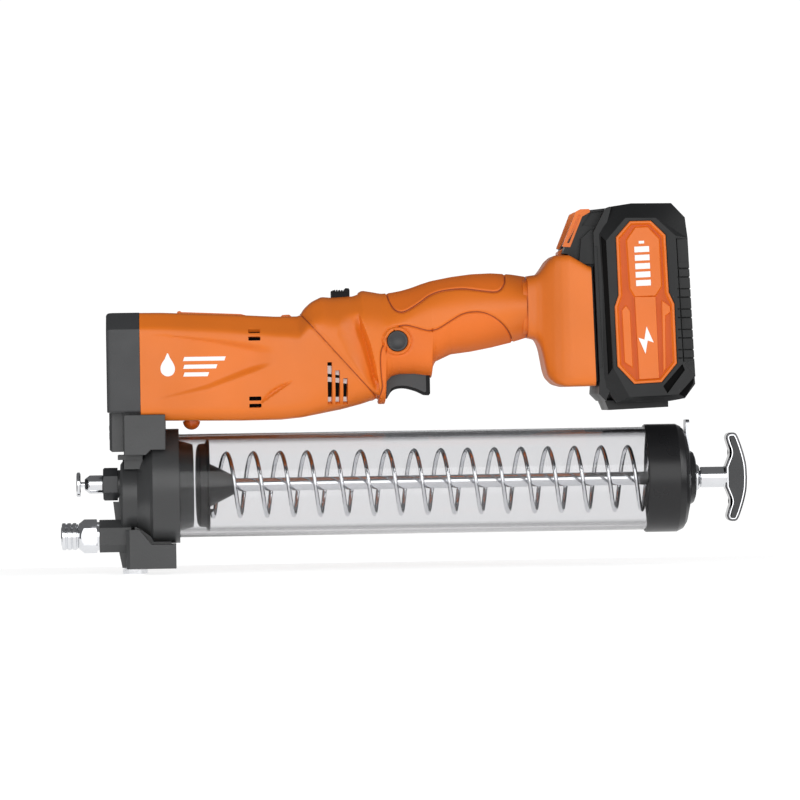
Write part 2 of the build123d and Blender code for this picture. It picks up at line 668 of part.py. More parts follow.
def selector_slide():
    """Thumb slide on top of the housing."""
    outline = [(163.7, 141.1), (163.7, 144.0), (164.6, 144.7), (171.6, 144.6), (173.0, 145.6),
               (174.2, 145.4), (174.8, 144.2), (174.8, 141.1)]
    cap = slab(outline, (-5.5, 5.5))
    grooves = [block((x, x + 0.7), (-6, 6), (144.2, 146)) for x in (165.6, 167.2, 168.8)]
    for groove in grooves:
        cap = cap - groove
    return cap + block((165.6, 172.4), (-3.0, 3.0), (136.5, 141.5))


def light_lens():
    """Domed lens of the work light under the housing."""
    dome = Pos(79.0, 0, 68.0) * Sphere(4.9) & block((70, 90), (-10, 10), (60, 68.1))
    return dome + rod_z(4.3, (68.0, 72.5), 79.0)


# ---- barrel, spring and follower ----------------------------------------------------------
def barrel_tube():
    """Clear grease barrel."""
    return rod_x(BARREL_R, BARREL_X, 0, BARREL_Z) - rod_x(BARREL_BORE, (50, 380), 0, BARREL_Z)


def barrel_gasket():
    """Flat ring that seals the barrel's front end in the socket."""
    return rod_x(BARREL_R - 0.1, (56.05, 56.95), 0, BARREL_Z) - rod_x(BARREL_BORE, (50, 60), 0, BARREL_Z)


def end_cap():
    """Rear cap with the rod guide and the pocket for the rod lock."""
    outer = turned([(350.4, 0), (350.4, 31.8), (351.1, 32.5), (370.5, 32.5), (373.4, 31.2), (375.0, 28.6),
                    (377.0, 20.0), (377.2, 16.4), (380.0, 15.0), (381.2, 12.6), (381.2, 0)], BARREL_Z)
    seat = rod_x(BARREL_R, (345, BARREL_X[1]), 0, BARREL_Z)
    boss = rod_x(10.0, (356.0, 372.0), 0, BARREL_Z)
    shape = outer - seat + boss
    shape = shape - rod_x(ROD_R + 0.4, (340, 390), 0, BARREL_Z)
    pocket = block((373.4, 378.6), (-7.6, 7.6), (BARREL_Z - 11.6, 80))
    return shape - pocket - block((372.6, 376), (-7.6, 7.6), (52, 80))


def rod_bush():
    """Plated bush where the rod leaves the cap."""
    ring = turned([(381.2, 0), (381.2, 7.8), (382.6, 7.8), (383.6, 6.8), (383.6, 0)], BARREL_Z)
    return ring - rod_x(ROD_R + 0.06, (370, 390), 0, BARREL_Z)


LATCH_TOE = (376.7, 19.7)  # the plate rocks on its round lower end, x and z
LATCH_THICK = 2.2


def rod_latch():
    """Spring-steel plate that grips the rod. The thumb presses its top forward."""
    x, half = LATCH_TOE[0], LATCH_THICK / 2
    plate = block((x - half, x + half), (-7.0, 7.0), (LATCH_TOE[1], 64.3))
    plate = fillet(plate.edges().group_by(Axis.Z)[-1].filter_by(Axis.X), 3.0)
    toe = rod_y(half, (-7.0, 7.0), *LATCH_TOE)
    return plate + toe - rod_x(ROD_R + 0.9, (370, 390), 0, BARREL_Z)


def main_spring():
    """Long follower spring round the rod."""
    length = SPRING_X[1] - SPRING_X[0]
    return Pos(SPRING_X[0], 0, BARREL_Z) * Rot(0, 90, 0) * coil(SPRING_R, SPRING_WIRE, length, SPRING_TURNS)


def follower_seal():
    """Rubber cup that wipes the bore."""
    cup = turned([(83.4, 0), (83.4, 23.4), (84.6, 25.0), (86.4, 25.6), (88.2, 27.7), (89.5, 27.7),
                  (89.5, 0)], BARREL_Z)
    return cup - rod_x(ROD_R, (80, 95), 0, BARREL_Z)


def follower_cone():
    """Cone that backs the cup and centres the spring."""
    cone = turned([(89.5, 0), (89.5, 12.4), (105.5, 5.7), (105.5, 0)], BARREL_Z)
    return cone - rod_x(ROD_R, (80, 120), 0, BARREL_Z)


def follower_rod():
    return rod_x(ROD_R, (84.0, 398.0), 0, BARREL_Z)


def t_handle():
    """Bowed T-handle with its sleeve on the rod."""
    half = 26.8

    def at(x, up):
        return (x, 0, BARREL_Z + up)

    back = ThreePointArc(at(406.6, 0.6 - half), at(HANDLE_X, 0), at(406.6, half - 0.6))
    top_end = ThreePointArc(back @ 1, at(402.4, half - 0.4), at(399.8, half - 3.4))
    front_top = Spline(top_end @ 1, at(402.2, 14.5), at(399.0, 6.3))
    middle = Line(front_top @ 1, at(399.0, -6.3))
    front_low = Spline(middle @ 1, at(402.2, -14.5), at(399.8, 3.4 - half))
    low_end = ThreePointArc(front_low @ 1, at(402.4, 0.4 - half), back @ 0)
    edges = [e for part in (back, top_end, front_top, middle, front_low, low_end) for e in part.edges()]
    bar = slab(edges, (-6.0, 6.0))
    bar = fillet([e for e in bar.edges() if abs(abs(e.center().Y) - 6.0) < 1e-3], 1.4)
    sleeve = rod_x(6.2, (384.2, 401.0), 0, BARREL_Z)
    return bar + sleeve - rod_x(ROD_R, (380, 398.0), 0, BARREL_Z)


# ---- battery ------------------------------------------------------------------------------
CASE_OUTLINE = [(324.3, 80.5), (330.0, 74.4), (372.4, 74.9), (379.0, 83.4), (379.0, 170.0), (378.2, 182.6),
                (370.2, 191.8), (345.0, 193.0), (328.0, 191.6), (324.3, 187.5)]
BADGE_OUTLINE = [(345.0, 183.6), (357.2, 183.2), (365.6, 174.4), (365.8, 140.4), (368.8, 133.4),
                 (368.6, 98.2), (358.8, 87.2), (342.6, 86.9), (333.0, 97.8), (333.2, 132.8), (335.9, 139.8),
                 (336.0, 174.2)]


def battery_case():
    """Outer half of the battery case."""
    body = slab(CASE_OUTLINE, (-BATTERY_HALF, BATTERY_HALF))
    rim = [e for e in body.edges() if abs(abs(e.center().Y) - BATTERY_HALF) < 1e-3 and e.center().X > 325]
    body = chamfer(rim, 4.0)
    foot = block((327.5, 363.4), (-24, 24), (70.2, 75.2))
    inner = block((320, 376.2), (-34.5, 34.5), (80.0, 187.0))
    body = body + foot - inner
    for k in range(7):
        z = 96.0 + 10.2 * k
        body = body - (block((377.6, 390), (-30, 30), (z, z + 1.0)))
    for side in (-1, 1):
        seat = slab(BADGE_OUTLINE, (-1, 1))
        body = body - Pos(0, side * (BATTERY_HALF + 0.2), 0) * seat
    return leaned(body)


def battery_badges():
    """Orange side plates of the battery."""
    plates = []
    for side in (-1, 1):
        low, high = sorted((side * (BATTERY_HALF - 0.8), side * (BATTERY_HALF + 0.9)))
        plates.append(leaned(slab(BADGE_OUTLINE, (low, high))))
    return Compound([p.solids()[0] for p in plates])


def rail_cover():
    """Inner half of the battery case: the rail block, its neck and the latch housing."""
    plate = slab([(320.6, 81.8), (324.3, 78.0), (324.3, 188.4), (320.6, 189.8)], (-35.5, 35.5))
    neck = block((316.0, 321.0), (-24.1, 24.1), (88.2, 160.0))
    rail = block((RAIL_X[0] + 0.4, 316.0), (-27.3, 27.3), (88.2, 157.0))
    tower = slab([(304.6, 156.0), (304.6, 165.2), (303.6, 166.4), (313.9, 189.6), (321.0, 190.6),
                  (321.0, 156.0)], (-23.8, 23.8))
    latch_room = slab([(301.0, 160.0), (311.0, 184.6), (315.2, 184.6), (309.2, 156.0), (301.0, 156.0)],
                      (-10.4, 10.4))
    contact_slots = [block((300, 315.0), (y - 1.6, y + 1.6), (80, 158.5)) for y in (-12, -4, 4, 12)]
    shape = plate + neck + rail + tower - latch_room
    carrier_room = block((300, 308.6), (-17.6, 17.6), (80, 156.6))
    shape = shape - carrier_room
    for slot in contact_slots:
        shape = shape - slot
    return leaned(shape)


def battery_latch():
    """Orange release button with its hook."""
    pad = slab([(302.2, 165.6), (310.6, 184.2), (313.0, 184.2), (306.6, 165.6)], (-9.8, 9.8))
    hook = slab([(302.8, 159.0), (302.8, 166.6), (307.0, 167.0), (306.2, 159.0)], (-8.0, 8.0))
    return leaned(pad + hook)


def battery_cells():
    """Ten cylindrical cells in two layers, across the case."""
    cells = []
    for row in range(2):
        for k in range(5):
            x = 340.0 + 19.0 * row
            z = 95.0 + 19.0 * k
            can = rod_y(9.0, (-32.4, 32.4), x, z) + rod_y(2.6, (32.4, 33.2), x, z)
            cells.append(leaned(can).solids()[0])
    return Compound(cells)


def battery_board():
    """Circuit board between the cells and the rail block."""
    return leaned(block((325.0, 326.6), (-30, 30), (92, 178)))


# ---- assembly -----------------------------------------------------------------------------
def build_parts():
    left_half, right_half, palm, finger = housing_halves()
    parts = {
        "housing_left": left_half,
        "housing_right": right_half,
        "palm_grip": palm,
        "finger_grip": finger,
        "case_screws": case_screws(),
        "battery_foot": battery_foot(),
        "foot_terminals": terminal_block(),
        "gearbox_cover": gearbox_cover(),
        "cover_screws": socket_screws(COVER_SCREWS, 29.4, 34.0),
        "guide_cover": guide_cover(),
        "guide_screws": socket_screws(GUIDE_SCREWS, 29.9, 17.0),
        "head_bracket": head_bracket(),
        "pump_head": pump_head(),
        "head_socket": head_socket(),
        "plunger_seal": plunger_seal(),
        "relief_plug": relief_plug(),
        "outlet_fitting": outlet_fitting(),
        "coupler_sleeve": coupler_sleeve(),
        "bleeder_nut": bleeder_nut(),
        "bleeder_sleeve": bleeder_sleeve(),
        "bleeder_pin": bleeder_pin(),
        "check_ball": check_ball(),
        "check_spring": check_spring(),
        "yoke": yoke(),
        "plunger": plunger(),
        "sun_pinion": sun_pinion(),
        "ring_gear": ring_gear(),
        "crank": crank(),
        "crank_bearing": crank_bearing(),
        "bearing_plate": bearing_plate(),
        "motor_can": motor_can(),
        "motor_magnets": motor_magnets(),
        "rotor": rotor(),
        "motor_fan": motor_fan(),
        "trigger": trigger(),
        "trigger_spring": trigger_spring(),
        "switch_module": switch_module(),
        "lock_button": lock_button(),
        "selector_slide": selector_slide(),
        "light_lens": light_lens(),
        "barrel_tube": barrel_tube(),
        "barrel_gasket": barrel_gasket(),
        "end_cap": end_cap(),
        "rod_bush": rod_bush(),
        "rod_latch": rod_latch(),
        "main_spring": main_spring(),
        "follower_seal": follower_seal(),
        "follower_cone": follower_cone(),
        "follower_rod": follower_rod(),
        "t_handle": t_handle(),
        "battery_case": battery_case(),
        "battery_badges": battery_badges(),
        "rail_cover": rail_cover(),
        "battery_latch": battery_latch(),
        "battery_cells": battery_cells(),
        "battery_board": battery_board(),
    }
    for number, angle in enumerate(PLANET_ANGLES, 1):
        parts[f"planet_gear_{number}"] = planet_gear(angle)
    return parts


os.makedirs("parts", exist_ok=True)
for name, shape in build_parts().items():
    solids = shape.solids()
    export_step(solids[0] if len(solids) == 1 else Compound(solids), f"parts/{name}.step")
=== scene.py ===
"""Looks of the cordless grease gun: camera, light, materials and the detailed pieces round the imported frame.

Lengths are millimetres until a mesh is made. +X runs back to the T-handle, +Z up, and -Y is the left side.
"""

import json
import math

import bmesh
import bpy
import numpy as np
from mathutils import Matrix, Vector


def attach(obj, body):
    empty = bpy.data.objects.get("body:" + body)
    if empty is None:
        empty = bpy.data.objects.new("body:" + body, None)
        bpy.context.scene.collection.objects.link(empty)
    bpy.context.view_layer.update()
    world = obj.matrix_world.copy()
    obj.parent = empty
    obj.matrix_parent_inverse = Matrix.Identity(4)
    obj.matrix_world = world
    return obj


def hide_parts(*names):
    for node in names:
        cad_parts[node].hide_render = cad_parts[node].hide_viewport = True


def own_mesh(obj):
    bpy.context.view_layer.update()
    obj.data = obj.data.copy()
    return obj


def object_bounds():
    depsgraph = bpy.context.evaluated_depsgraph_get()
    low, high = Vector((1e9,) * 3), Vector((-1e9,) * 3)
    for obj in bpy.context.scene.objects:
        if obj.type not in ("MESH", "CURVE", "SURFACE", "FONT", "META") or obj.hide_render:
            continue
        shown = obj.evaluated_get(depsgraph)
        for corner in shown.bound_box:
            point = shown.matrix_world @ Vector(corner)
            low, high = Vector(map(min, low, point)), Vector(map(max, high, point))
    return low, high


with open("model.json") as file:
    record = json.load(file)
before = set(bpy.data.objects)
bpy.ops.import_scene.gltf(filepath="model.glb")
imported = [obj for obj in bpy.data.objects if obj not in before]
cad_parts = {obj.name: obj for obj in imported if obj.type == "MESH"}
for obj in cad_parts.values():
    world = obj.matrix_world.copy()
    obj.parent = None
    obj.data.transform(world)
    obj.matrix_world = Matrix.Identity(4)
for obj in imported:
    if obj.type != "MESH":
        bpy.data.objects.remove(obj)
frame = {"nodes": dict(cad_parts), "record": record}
cad_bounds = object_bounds()
scene = bpy.context.scene
MM = 0.001


# ---- camera, light and stage --------------------------------------------------------------
def look_from(obj, place, target, roll=0.0):
    """Points obj's -Z axis from place to target, with Z up and then a roll."""
    direction = Vector(target) - Vector(place)
    obj.location = place
    obj.rotation_euler = direction.to_track_quat("-Z", "Y").to_euler()
    obj.rotation_euler.rotate_axis("Z", math.radians(roll))


def make_camera():
    data = bpy.data.cameras.new("camera")
    camera = bpy.data.objects.new("camera", data)
    scene.collection.objects.link(camera)
    data.sensor_width = 36.0
    distance = 2.8
    yaw = math.radians(2.6)
    target = Vector((0.2043, 0.0, 0.0787))
    place = target + Vector((-math.sin(yaw) * distance, -math.cos(yaw) * distance, 0.0))
    near_side = 0.015
    data.lens = 36.0 * (distance - near_side) / 0.478
    data.clip_start, data.clip_end = 0.05, 20.0
    look_from(camera, place, target, roll=-0.9)
    scene.camera = camera


def area_light(name, place, target, size, power, colour=(1, 1, 1)):
    data = bpy.data.lights.new(name, "AREA")
    data.shape = "RECTANGLE"
    data.size, data.size_y = size
    data.energy = power
    data.color = colour
    light = bpy.data.objects.new(name, data)
    scene.collection.objects.link(light)
    look_from(light, place, target)


def make_lights():
    """A broad frontal softbox as in a catalogue shot, with weaker panels at the sides and below."""
    middle = (0.2, 0.0, 0.08)
    area_light("front", (0.05, -2.5, 0.50), middle, (3.2, 2.1), 51)
    area_light("left_panel", (-1.6, -0.9, 0.5), middle, (0.5, 1.4), 7)
    area_light("right_panel", (1.7, -0.8, 0.7), middle, (0.4, 1.4), 10)
    area_light("low", (0.2, -1.0, -0.9), middle, (1.6, 0.5), 5)
    world = bpy.data.worlds.new("world")
    world.use_nodes = True
    background = world.node_tree.nodes["Background"]
    background.inputs[0].default_value = (0.93, 0.94, 0.96, 1)
    background.inputs[1].default_value = 0.16
    scene.world = world
    scene.view_settings.view_transform = "Standard"


def stage_panel(name, corners, colour, glow):
    """A plain pale panel that is lit from within, so that it stays even."""
    mesh = bpy.data.meshes.new(name)
    mesh.from_pydata(corners, [], [(0, 1, 2, 3)])
    panel = bpy.data.objects.new(name, mesh)
    scene.collection.objects.link(panel)
    material = bpy.data.materials.new(name)
    material.use_nodes = True
    shader = material.node_tree.nodes["Principled BSDF"]
    shader.inputs["Base Color"].default_value = (*colour, 1)
    shader.inputs["Roughness"].default_value = 0.9
    shader.inputs["Specular IOR Level"].default_value = 0.0
    shader.inputs["Emission Color"].default_value = (1, 1, 1, 1)
    shader.inputs["Emission Strength"].default_value = glow
    mesh.materials.append(material)


def make_stage():
    """A pale floor just under the tool and a white panel far behind it.

    Both are little larger than the picture, so that glass and chrome keep their dark edges.
    """
    floor_z = cad_bounds[0][2] - 0.0005
    stage_panel("floor", [(-0.10, -1.8, floor_z), (0.50, -1.8, floor_z), (0.50, 0.14, floor_z),
                          (-0.10, 0.14, floor_z)],
                (0.55, 0.55, 0.55), 0.80)
    stage_panel("backdrop", [(-0.32, 2.2, -0.54), (0.92, 2.2, -0.54), (0.92, 2.2, 0.70), (-0.32, 2.2, 0.70)],
                (0.0, 0.0, 0.0), 1.05)


make_camera()
make_lights()
make_stage()


# ---- materials ----------------------------------------------------------------------------
class Shader:
    """A principled material with helpers for procedural detail."""

    def __init__(self, name, colour, roughness, metallic=0.0, **sockets):
        self.material = bpy.data.materials.new(name)
        self.material.use_nodes = True
        self.nodes = self.material.node_tree.nodes
        self.links = self.material.node_tree.links
        self.shader = self.nodes["Principled BSDF"]
        self.colour = tuple(colour) + (1.0,)
        self.roughness = roughness
        self.shader.inputs["Base Color"].default_value = self.colour
        self.shader.inputs["Roughness"].default_value = roughness
        self.shader.inputs["Metallic"].default_value = metallic
        for socket, value in sockets.items():
            self.shader.inputs[socket.replace("_", " ")].default_value = value

    def position(self, stretch=(1, 1, 1)):
        """Object coordinates, stretched for grain along an axis."""
        coordinates = self.nodes.new("ShaderNodeTexCoord")
        mapping = self.nodes.new("ShaderNodeMapping")
        mapping.inputs["Scale"].default_value = stretch
        self.links.new(coordinates.outputs["Object"], mapping.inputs["Vector"])
        return mapping.outputs["Vector"]

    def noise(self, scale, detail=3.0, stretch=(1, 1, 1)):
        texture = self.nodes.new("ShaderNodeTexNoise")
        texture.inputs["Scale"].default_value = scale
        texture.inputs["Detail"].default_value = detail
        self.links.new(self.position(stretch), texture.inputs["Vector"])
        return texture.outputs["Fac"]

    def ramp(self, value, low, high, out_low, out_high):
        spread = self.nodes.new("ShaderNodeMapRange")
        for socket, number in zip(("From Min", "From Max", "To Min", "To Max"),
                                  (low, high, out_low, out_high)):
            spread.inputs[socket].default_value = number
        self.links.new(value, spread.inputs["Value"])
        return spread.outputs["Result"]

    def tint(self, value, dark, light):
        """Base colour that wanders between two tones."""
        mix = self.nodes.new("ShaderNodeMix")
        mix.data_type = "RGBA"
        mix.inputs[6].default_value = tuple(dark) + (1.0,)
        mix.inputs[7].default_value = tuple(light) + (1.0,)
        self.links.new(value, mix.inputs[0])
        self.links.new(mix.outputs[2], self.shader.inputs["Base Color"])

    def rough(self, value, low, high):
        self.links.new(self.ramp(value, 0.3, 0.7, low, high), self.shader.inputs["Roughness"])

    def bump(self, value, strength, distance=0.0002):
        bump = self.nodes.new("ShaderNodeBump")
        bump.inputs["Strength"].default_value = strength
        bump.inputs["Distance"].default_value = distance
        self.links.new(value, bump.inputs["Height"])
        self.links.new(bump.outputs["Normal"], self.shader.inputs["Normal"])


def shade(colour, factor):
    return tuple(min(1.0, c * factor) for c in colour)


def plastic(name, colour, roughness, grain=1400, strength=0.12, spread=0.06, **sockets):
    """Moulded plastic: fine spark-eroded texture, faint cloudiness and handling marks in the gloss."""
    s = Shader(name, colour, roughness, **sockets)
    s.tint(s.ramp(s.noise(18, 4), 0.3, 0.7, 0, 1), shade(colour, 1 - spread), shade(colour, 1 + spread))
    s.rough(s.noise(45, 5), roughness - 0.06, roughness + 0.07)
    s.bump(s.noise(grain, 2), strength)
    return s.material


def metal(name, colour, roughness, stretch=(1, 1, 1), grain=900, strength=0.08, spread=0.05):
    """Plated or machined metal with fine lines and slightly uneven polish."""
    s = Shader(name, colour, roughness, metallic=1.0)
    lines = s.noise(grain, 3, stretch)
    s.tint(s.ramp(s.noise(60, 4), 0.3, 0.7, 0, 1), shade(colour, 1 - spread), shade(colour, 1 + spread))
    s.rough(lines, max(0.02, roughness - 0.03), roughness + 0.05)
    s.bump(lines, strength, 0.00005)
    return s.material


def clear_plastic():
    """Clear moulded barrel with faint flow marks; its base colour darkens where one looks along the wall,
    painted shade for the dark edges of the tube.
    """
    s = Shader("barrel_clear", (0.90, 0.91, 0.92), 0.03, Transmission_Weight=1.0, IOR=1.30)
    # Painted shade: Layer Weight facing darkens the base colour towards grazing view along the wall.
    edge = s.nodes.new("ShaderNodeLayerWeight")
    edge.inputs["Blend"].default_value = 0.5
    s.tint(s.ramp(edge.outputs["Facing"], 0.50, 0.64, 0, 1), (0.83, 0.83, 0.84), (0.27, 0.27, 0.28))
    s.rough(s.noise(30, 4), 0.02, 0.06)
    s.bump(s.noise(22, 2, (0.3, 1, 1)), 0.03, 0.0003)
    return s.material


MATERIALS = {
    "housing_orange": plastic("housing_orange", (0.71, 0.163, 0.012), 0.42, Specular_IOR_Level=0.4),
    "grip_orange": plastic("grip_orange", (0.72, 0.152, 0.011), 0.50, grain=900, strength=0.25,
                           Specular_IOR_Level=0.4),
    "badge_orange": plastic("badge_orange", (0.71, 0.150, 0.010), 0.38, Specular_IOR_Level=0.4),
    # Darker orange for the badges' sunk floor: painted shade in the recess.
    "badge_recess_shade": plastic("badge_recess_shade", (0.56, 0.085, 0.003), 0.45, Specular_IOR_Level=0.3),
    "lens_orange": plastic("lens_orange", (0.84, 0.15, 0.02), 0.12, strength=0.02),
    "cover_black": plastic("cover_black", (0.036, 0.037, 0.039), 0.50, strength=0.3),
    "head_black": plastic("head_black", (0.042, 0.043, 0.044), 0.33, grain=700, strength=0.3,
                          Specular_IOR_Level=0.42),
    "cap_black": plastic("cap_black", (0.012, 0.012, 0.013), 0.30, Specular_IOR_Level=0.35),
    "trim_black": plastic("trim_black", (0.007, 0.007, 0.008), 0.5, Specular_IOR_Level=0.15),
    "control_black": plastic("control_black", (0.030, 0.031, 0.033), 0.45),
    "battery_black": plastic("battery_black", (0.012, 0.0125, 0.013), 0.42, strength=0.3,
                             Specular_IOR_Level=0.28),
    "rubber_black": plastic("rubber_black", (0.014, 0.014, 0.014), 0.6, grain=500, strength=0.2),
    "follower_black": plastic("follower_black", (0.020, 0.020, 0.021), 0.4),
    "chrome": metal("chrome", (0.74, 0.75, 0.77), 0.10),
    "barrel_clear": clear_plastic(),
    "steel": metal("steel", (0.50, 0.51, 0.53), 0.30),
    "dark_chrome": metal("dark_chrome", (0.11, 0.11, 0.115), 0.16),
    "baffle_white": plastic("baffle_white", (0.72, 0.71, 0.70), 0.6, strength=0.05),
    "fan_plastic": plastic("fan_plastic", (0.03, 0.03, 0.03), 0.5),
    "cell_wrap": plastic("cell_wrap", (0.03, 0.15, 0.40), 0.3),
    # Dark brown for the cords sunk in the housing's grooves: painted shade.
    "groove_shade_brown": plastic("groove_shade_brown", (0.30, 0.055, 0.012), 0.7),
    # Near-black and nearly unreflecting: painted shade inside the battery's slots and behind the vents.
    "painted_shade_black": plastic("painted_shade_black", (0.004, 0.004, 0.004), 0.8, Specular_IOR_Level=0.1),
    "mark_white": plastic("mark_white", (0.86, 0.86, 0.85), 0.45, strength=0.05, spread=0.02),
    "board_green": plastic("board_green", (0.01, 0.10, 0.04), 0.4),
}


def dress_nodes():
    """Gives every CAD node the material of its slot."""
    slots = {row["node"]: row["material_slot"] for row in frame["record"]["subparts"]}
    for name, obj in frame["nodes"].items():
        obj.data.materials.clear()
        obj.data.materials.append(MATERIALS[slots[name]])
        obj.data.shade_smooth()
        obj.data.set_sharp_from_angle(angle=math.radians(32))


dress_nodes()


# ---- mesh helpers -------------------------------------------------------------------------
def add_piece(name, points, faces, body, slot, replaces=(), sharp=32, material=None):
    """Makes a mesh piece from millimetre points, rides it on its body and dresses it."""
    mesh = bpy.data.meshes.new(name)
    mesh.from_pydata([tuple(p) for p in np.asarray(points, float) * MM], [], faces)
    mesh.update()
    mesh.materials.append(MATERIALS[material or slot])
    mesh.shade_smooth()
    mesh.set_sharp_from_angle(angle=math.radians(sharp))
    obj = bpy.data.objects.new(name, mesh)
    scene.collection.objects.link(obj)
    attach(obj, body)
    if replaces:
        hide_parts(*replaces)
    return obj


def smooth_line(knots, blur):
    """A function through (x, value) knots, rounded over about blur millimetres."""
    xs, values = np.array(knots, float).T
    grid = np.arange(xs[0] - 20, xs[-1] + 20, 0.1)
    reach = np.arange(-4 * blur, 4 * blur + 0.05, 0.1)
    kernel = np.exp(-0.5 * (reach / blur) ** 2)
    slope_in = (values[1] - values[0]) / (xs[1] - xs[0])
    slope_out = (values[-1] - values[-2]) / (xs[-1] - xs[-2])
    raw = np.interp(grid, xs, values)
    raw = np.where(grid < xs[0], values[0] + slope_in * (grid - xs[0]), raw)
    raw = np.where(grid > xs[-1], values[-1] + slope_out * (grid - xs[-1]), raw)
    soft = np.convolve(raw, kernel / kernel.sum(), mode="same")
    return lambda x: np.interp(x, grid, soft)


def curve_points(knots, closed=False, step=0.4):
    """A smooth line through (x, z) knots, as closely spaced points."""
    knots = np.array(knots, float)
    count = len(knots)
    dense = []
    for k in range(count if closed else count - 1):
        before = knots[(k - 1) % count] if closed or k > 0 else 2 * knots[0] - knots[1]
        a, b = knots[k], knots[(k + 1) % count]
        after = knots[(k + 2) % count] if closed or k + 2 < count else 2 * knots[-1] - knots[-2]
        for t in np.arange(0, 1, step / max(step, np.linalg.norm(b - a))):
            dense.append(0.5 * (2 * a + (b - before) * t + (2 * before - 5 * a + 4 * b - after) * t * t
                                + (3 * a - before - 3 * b + after) * t ** 3))
    if not closed:
        dense.append(knots[-1])
    return np.array(dense)


def polygon_points(corners, closed=True, step=0.4):
    """Straight runs between (x, z) corners, as closely spaced points."""
    corners = np.array(corners, float)
    pairs = zip(corners, np.roll(corners, -1, axis=0)) if closed else zip(corners[:-1], corners[1:])
    dense = []
    for a, b in pairs:
        steps = max(1, int(np.linalg.norm(b - a) / step))
        dense += [a + (b - a) * k / steps for k in range(steps)]
    if not closed:
        dense.append(corners[-1])
    return np.array(dense)


def nearest(x, z, line):
    """Distance from each (x, z) to a line of points, and the nearest place on it."""
    flat = np.column_stack([np.ravel(x), np.ravel(z)])
    distance = np.full(len(flat), 1e9)
    place = np.zeros_like(flat)
    starts, ends = line[:-1], line[1:]
    for a, b in zip(starts, ends):
        run = b - a
        t = np.clip(((flat - a) @ run) / max(1e-9, run @ run), 0, 1)
        foot = a + t[:, None] * run
        away = np.hypot(*(flat - foot).T)
        closer = away < distance
        distance[closer] = away[closer]
        place[closer] = foot[closer]
    return distance.reshape(np.shape(x)), place.reshape(np.shape(x) + (2,))


def inside(x, z, outline):
    """Whether each (x, z) lies inside a closed outline."""
    result = np.zeros(np.shape(x), bool)
    for (ax, az), (bx, bz) in zip(outline, np.roll(outline, -1, axis=0)):
        crosses = (az > z) != (bz > z)
        if not crosses.any():
            continue
        at = ax + (z - az) * (bx - ax) / ((bz - az) or 1e-12)
        result ^= crosses & (x < at)
    return result


def ease(value, low, high):
    """0 below low, 1 above high, smooth between."""
    t = np.clip((value - low) / (high - low), 0, 1)
    return t * t * (3 - 2 * t)


# ---- housing ------------------------------------------------------------------------------
# Outlines seen from the left, in millimetres: (x, z)
TOP_LINE = [(48.9, 133.0), (61.5, 132.9), (85.5, 131.9), (109.5, 130.8), (130.0, 129.6), (143.8, 129.6),
            (148.0, 135.0), (151.6, 138.2), (157.7, 141.2), (163.7, 140.7), (175.7, 141.6), (179.3, 143.0),
            (182.0, 144.8), (187.7, 143.9), (193.7, 142.8), (199.7, 143.3), (205.7, 144.4), (211.8, 146.1),
            (217.8, 148.3), (223.8, 150.1), (235.9, 152.4), (247.9, 153.9), (259.9, 154.3), (271.9, 153.4),
            (280.5, 151.9)]
BOTTOM_LINE = [(48.9, 68.7), (72.5, 68.4), (108.5, 67.9), (132.5, 68.1), (144.5, 69.2), (156.6, 71.4),
               (168.6, 73.6), (180.7, 76.6), (189.9, 79.6), (191.2, 76.4), (194.9, 76.4), (195.5, 79.2),
               (195.7, 89.4), (198.9, 92.7), (203.7, 93.9), (212.7, 93.6), (219.8, 92.2), (223.4, 91.6),
               (224.0, 97.6),
               (225.8, 101.3), (235.1, 105.4), (247.2, 106.8), (259.2, 109.0), (271.2, 111.8), (280.5, 114.6)]
HALF_WIDTH = [(48.9, 32.0), (80, 32.3), (112, 32.5), (138, 32.3), (150, 31.6), (168, 29.4), (181, 27.0),
              (191, 25.0), (200, 22.8), (212, 20.8), (222, 19.5), (232, 18.7), (245, 18.4), (280.5, 18.8)]
UPPER_FACET = [(48.9, 9.6), (100, 10.5), (140, 12.0), (170, 17.0), (200, 19.0), (280.5, 19.0)]
LOWER_FACET = [(48.9, 5.0), (110, 5.2), (150, 6.0), (178, 9.0), (196, 8.0), (222, 8.5), (240, 13.0),
               (280.5, 17.0)]
CORNER_POWER = [(48.9, 46.0), (135, 40.0), (160, 16.0), (190, 11.0), (222, 9.0), (236, 5.0), (280.5, 4.0)]
HALF_ROWS = 150          # rows of the mesh from the top seam to the bottom seam
SHELL = 2.6              # wall thickness

PALM_EDGE = [(196.9, 144.6), (197.4, 141.0), (198.6, 137.0), (201.0, 133.0), (204.3, 131.2), (207.9, 131.8),
             (212.2, 134.1), (217.6, 137.6), (222.5, 141.0), (229.7, 143.5), (241.7, 144.6), (253.7, 143.2),
             (260.9, 142.4), (264.5, 143.5), (267.0, 146.5), (268.0, 150.1), (268.0, 155.5)]
FINGER_EDGE = [(194.4, 112.6), (197.0, 117.5), (200.6, 121.1), (204.2, 122.8), (208.4, 123.2), (214.4, 121.6),
               (220.4, 120.0), (224.6, 120.2), (228.2, 121.5), (235.4, 126.0), (241.5, 129.4), (247.5, 130.6),
               (253.5, 130.3), (259.5, 127.9), (265.4, 123.4), (270.1, 117.6), (272.8, 111.0)]
FLAP_EDGE = [(194.4, 112.6), (192.5, 108.0), (192.0, 101.5), (192.4, 93.0), (192.9, 86.0), (190.6, 79.2),
             (190.2, 74.0)]
SEAM = ((144.0, 131.5), (191.0, 79.0))
BUTTON = (202.3, 113.9)
BUTTON_HOLE = 6.4
CASE_SCREWS = [(100.0, 73.8), (128.0, 125.4), (152.0, 131.0), (186.0, 136.0), (187.0, 83.0),
               (232.0, 128.0), (270.0, 130.0)]


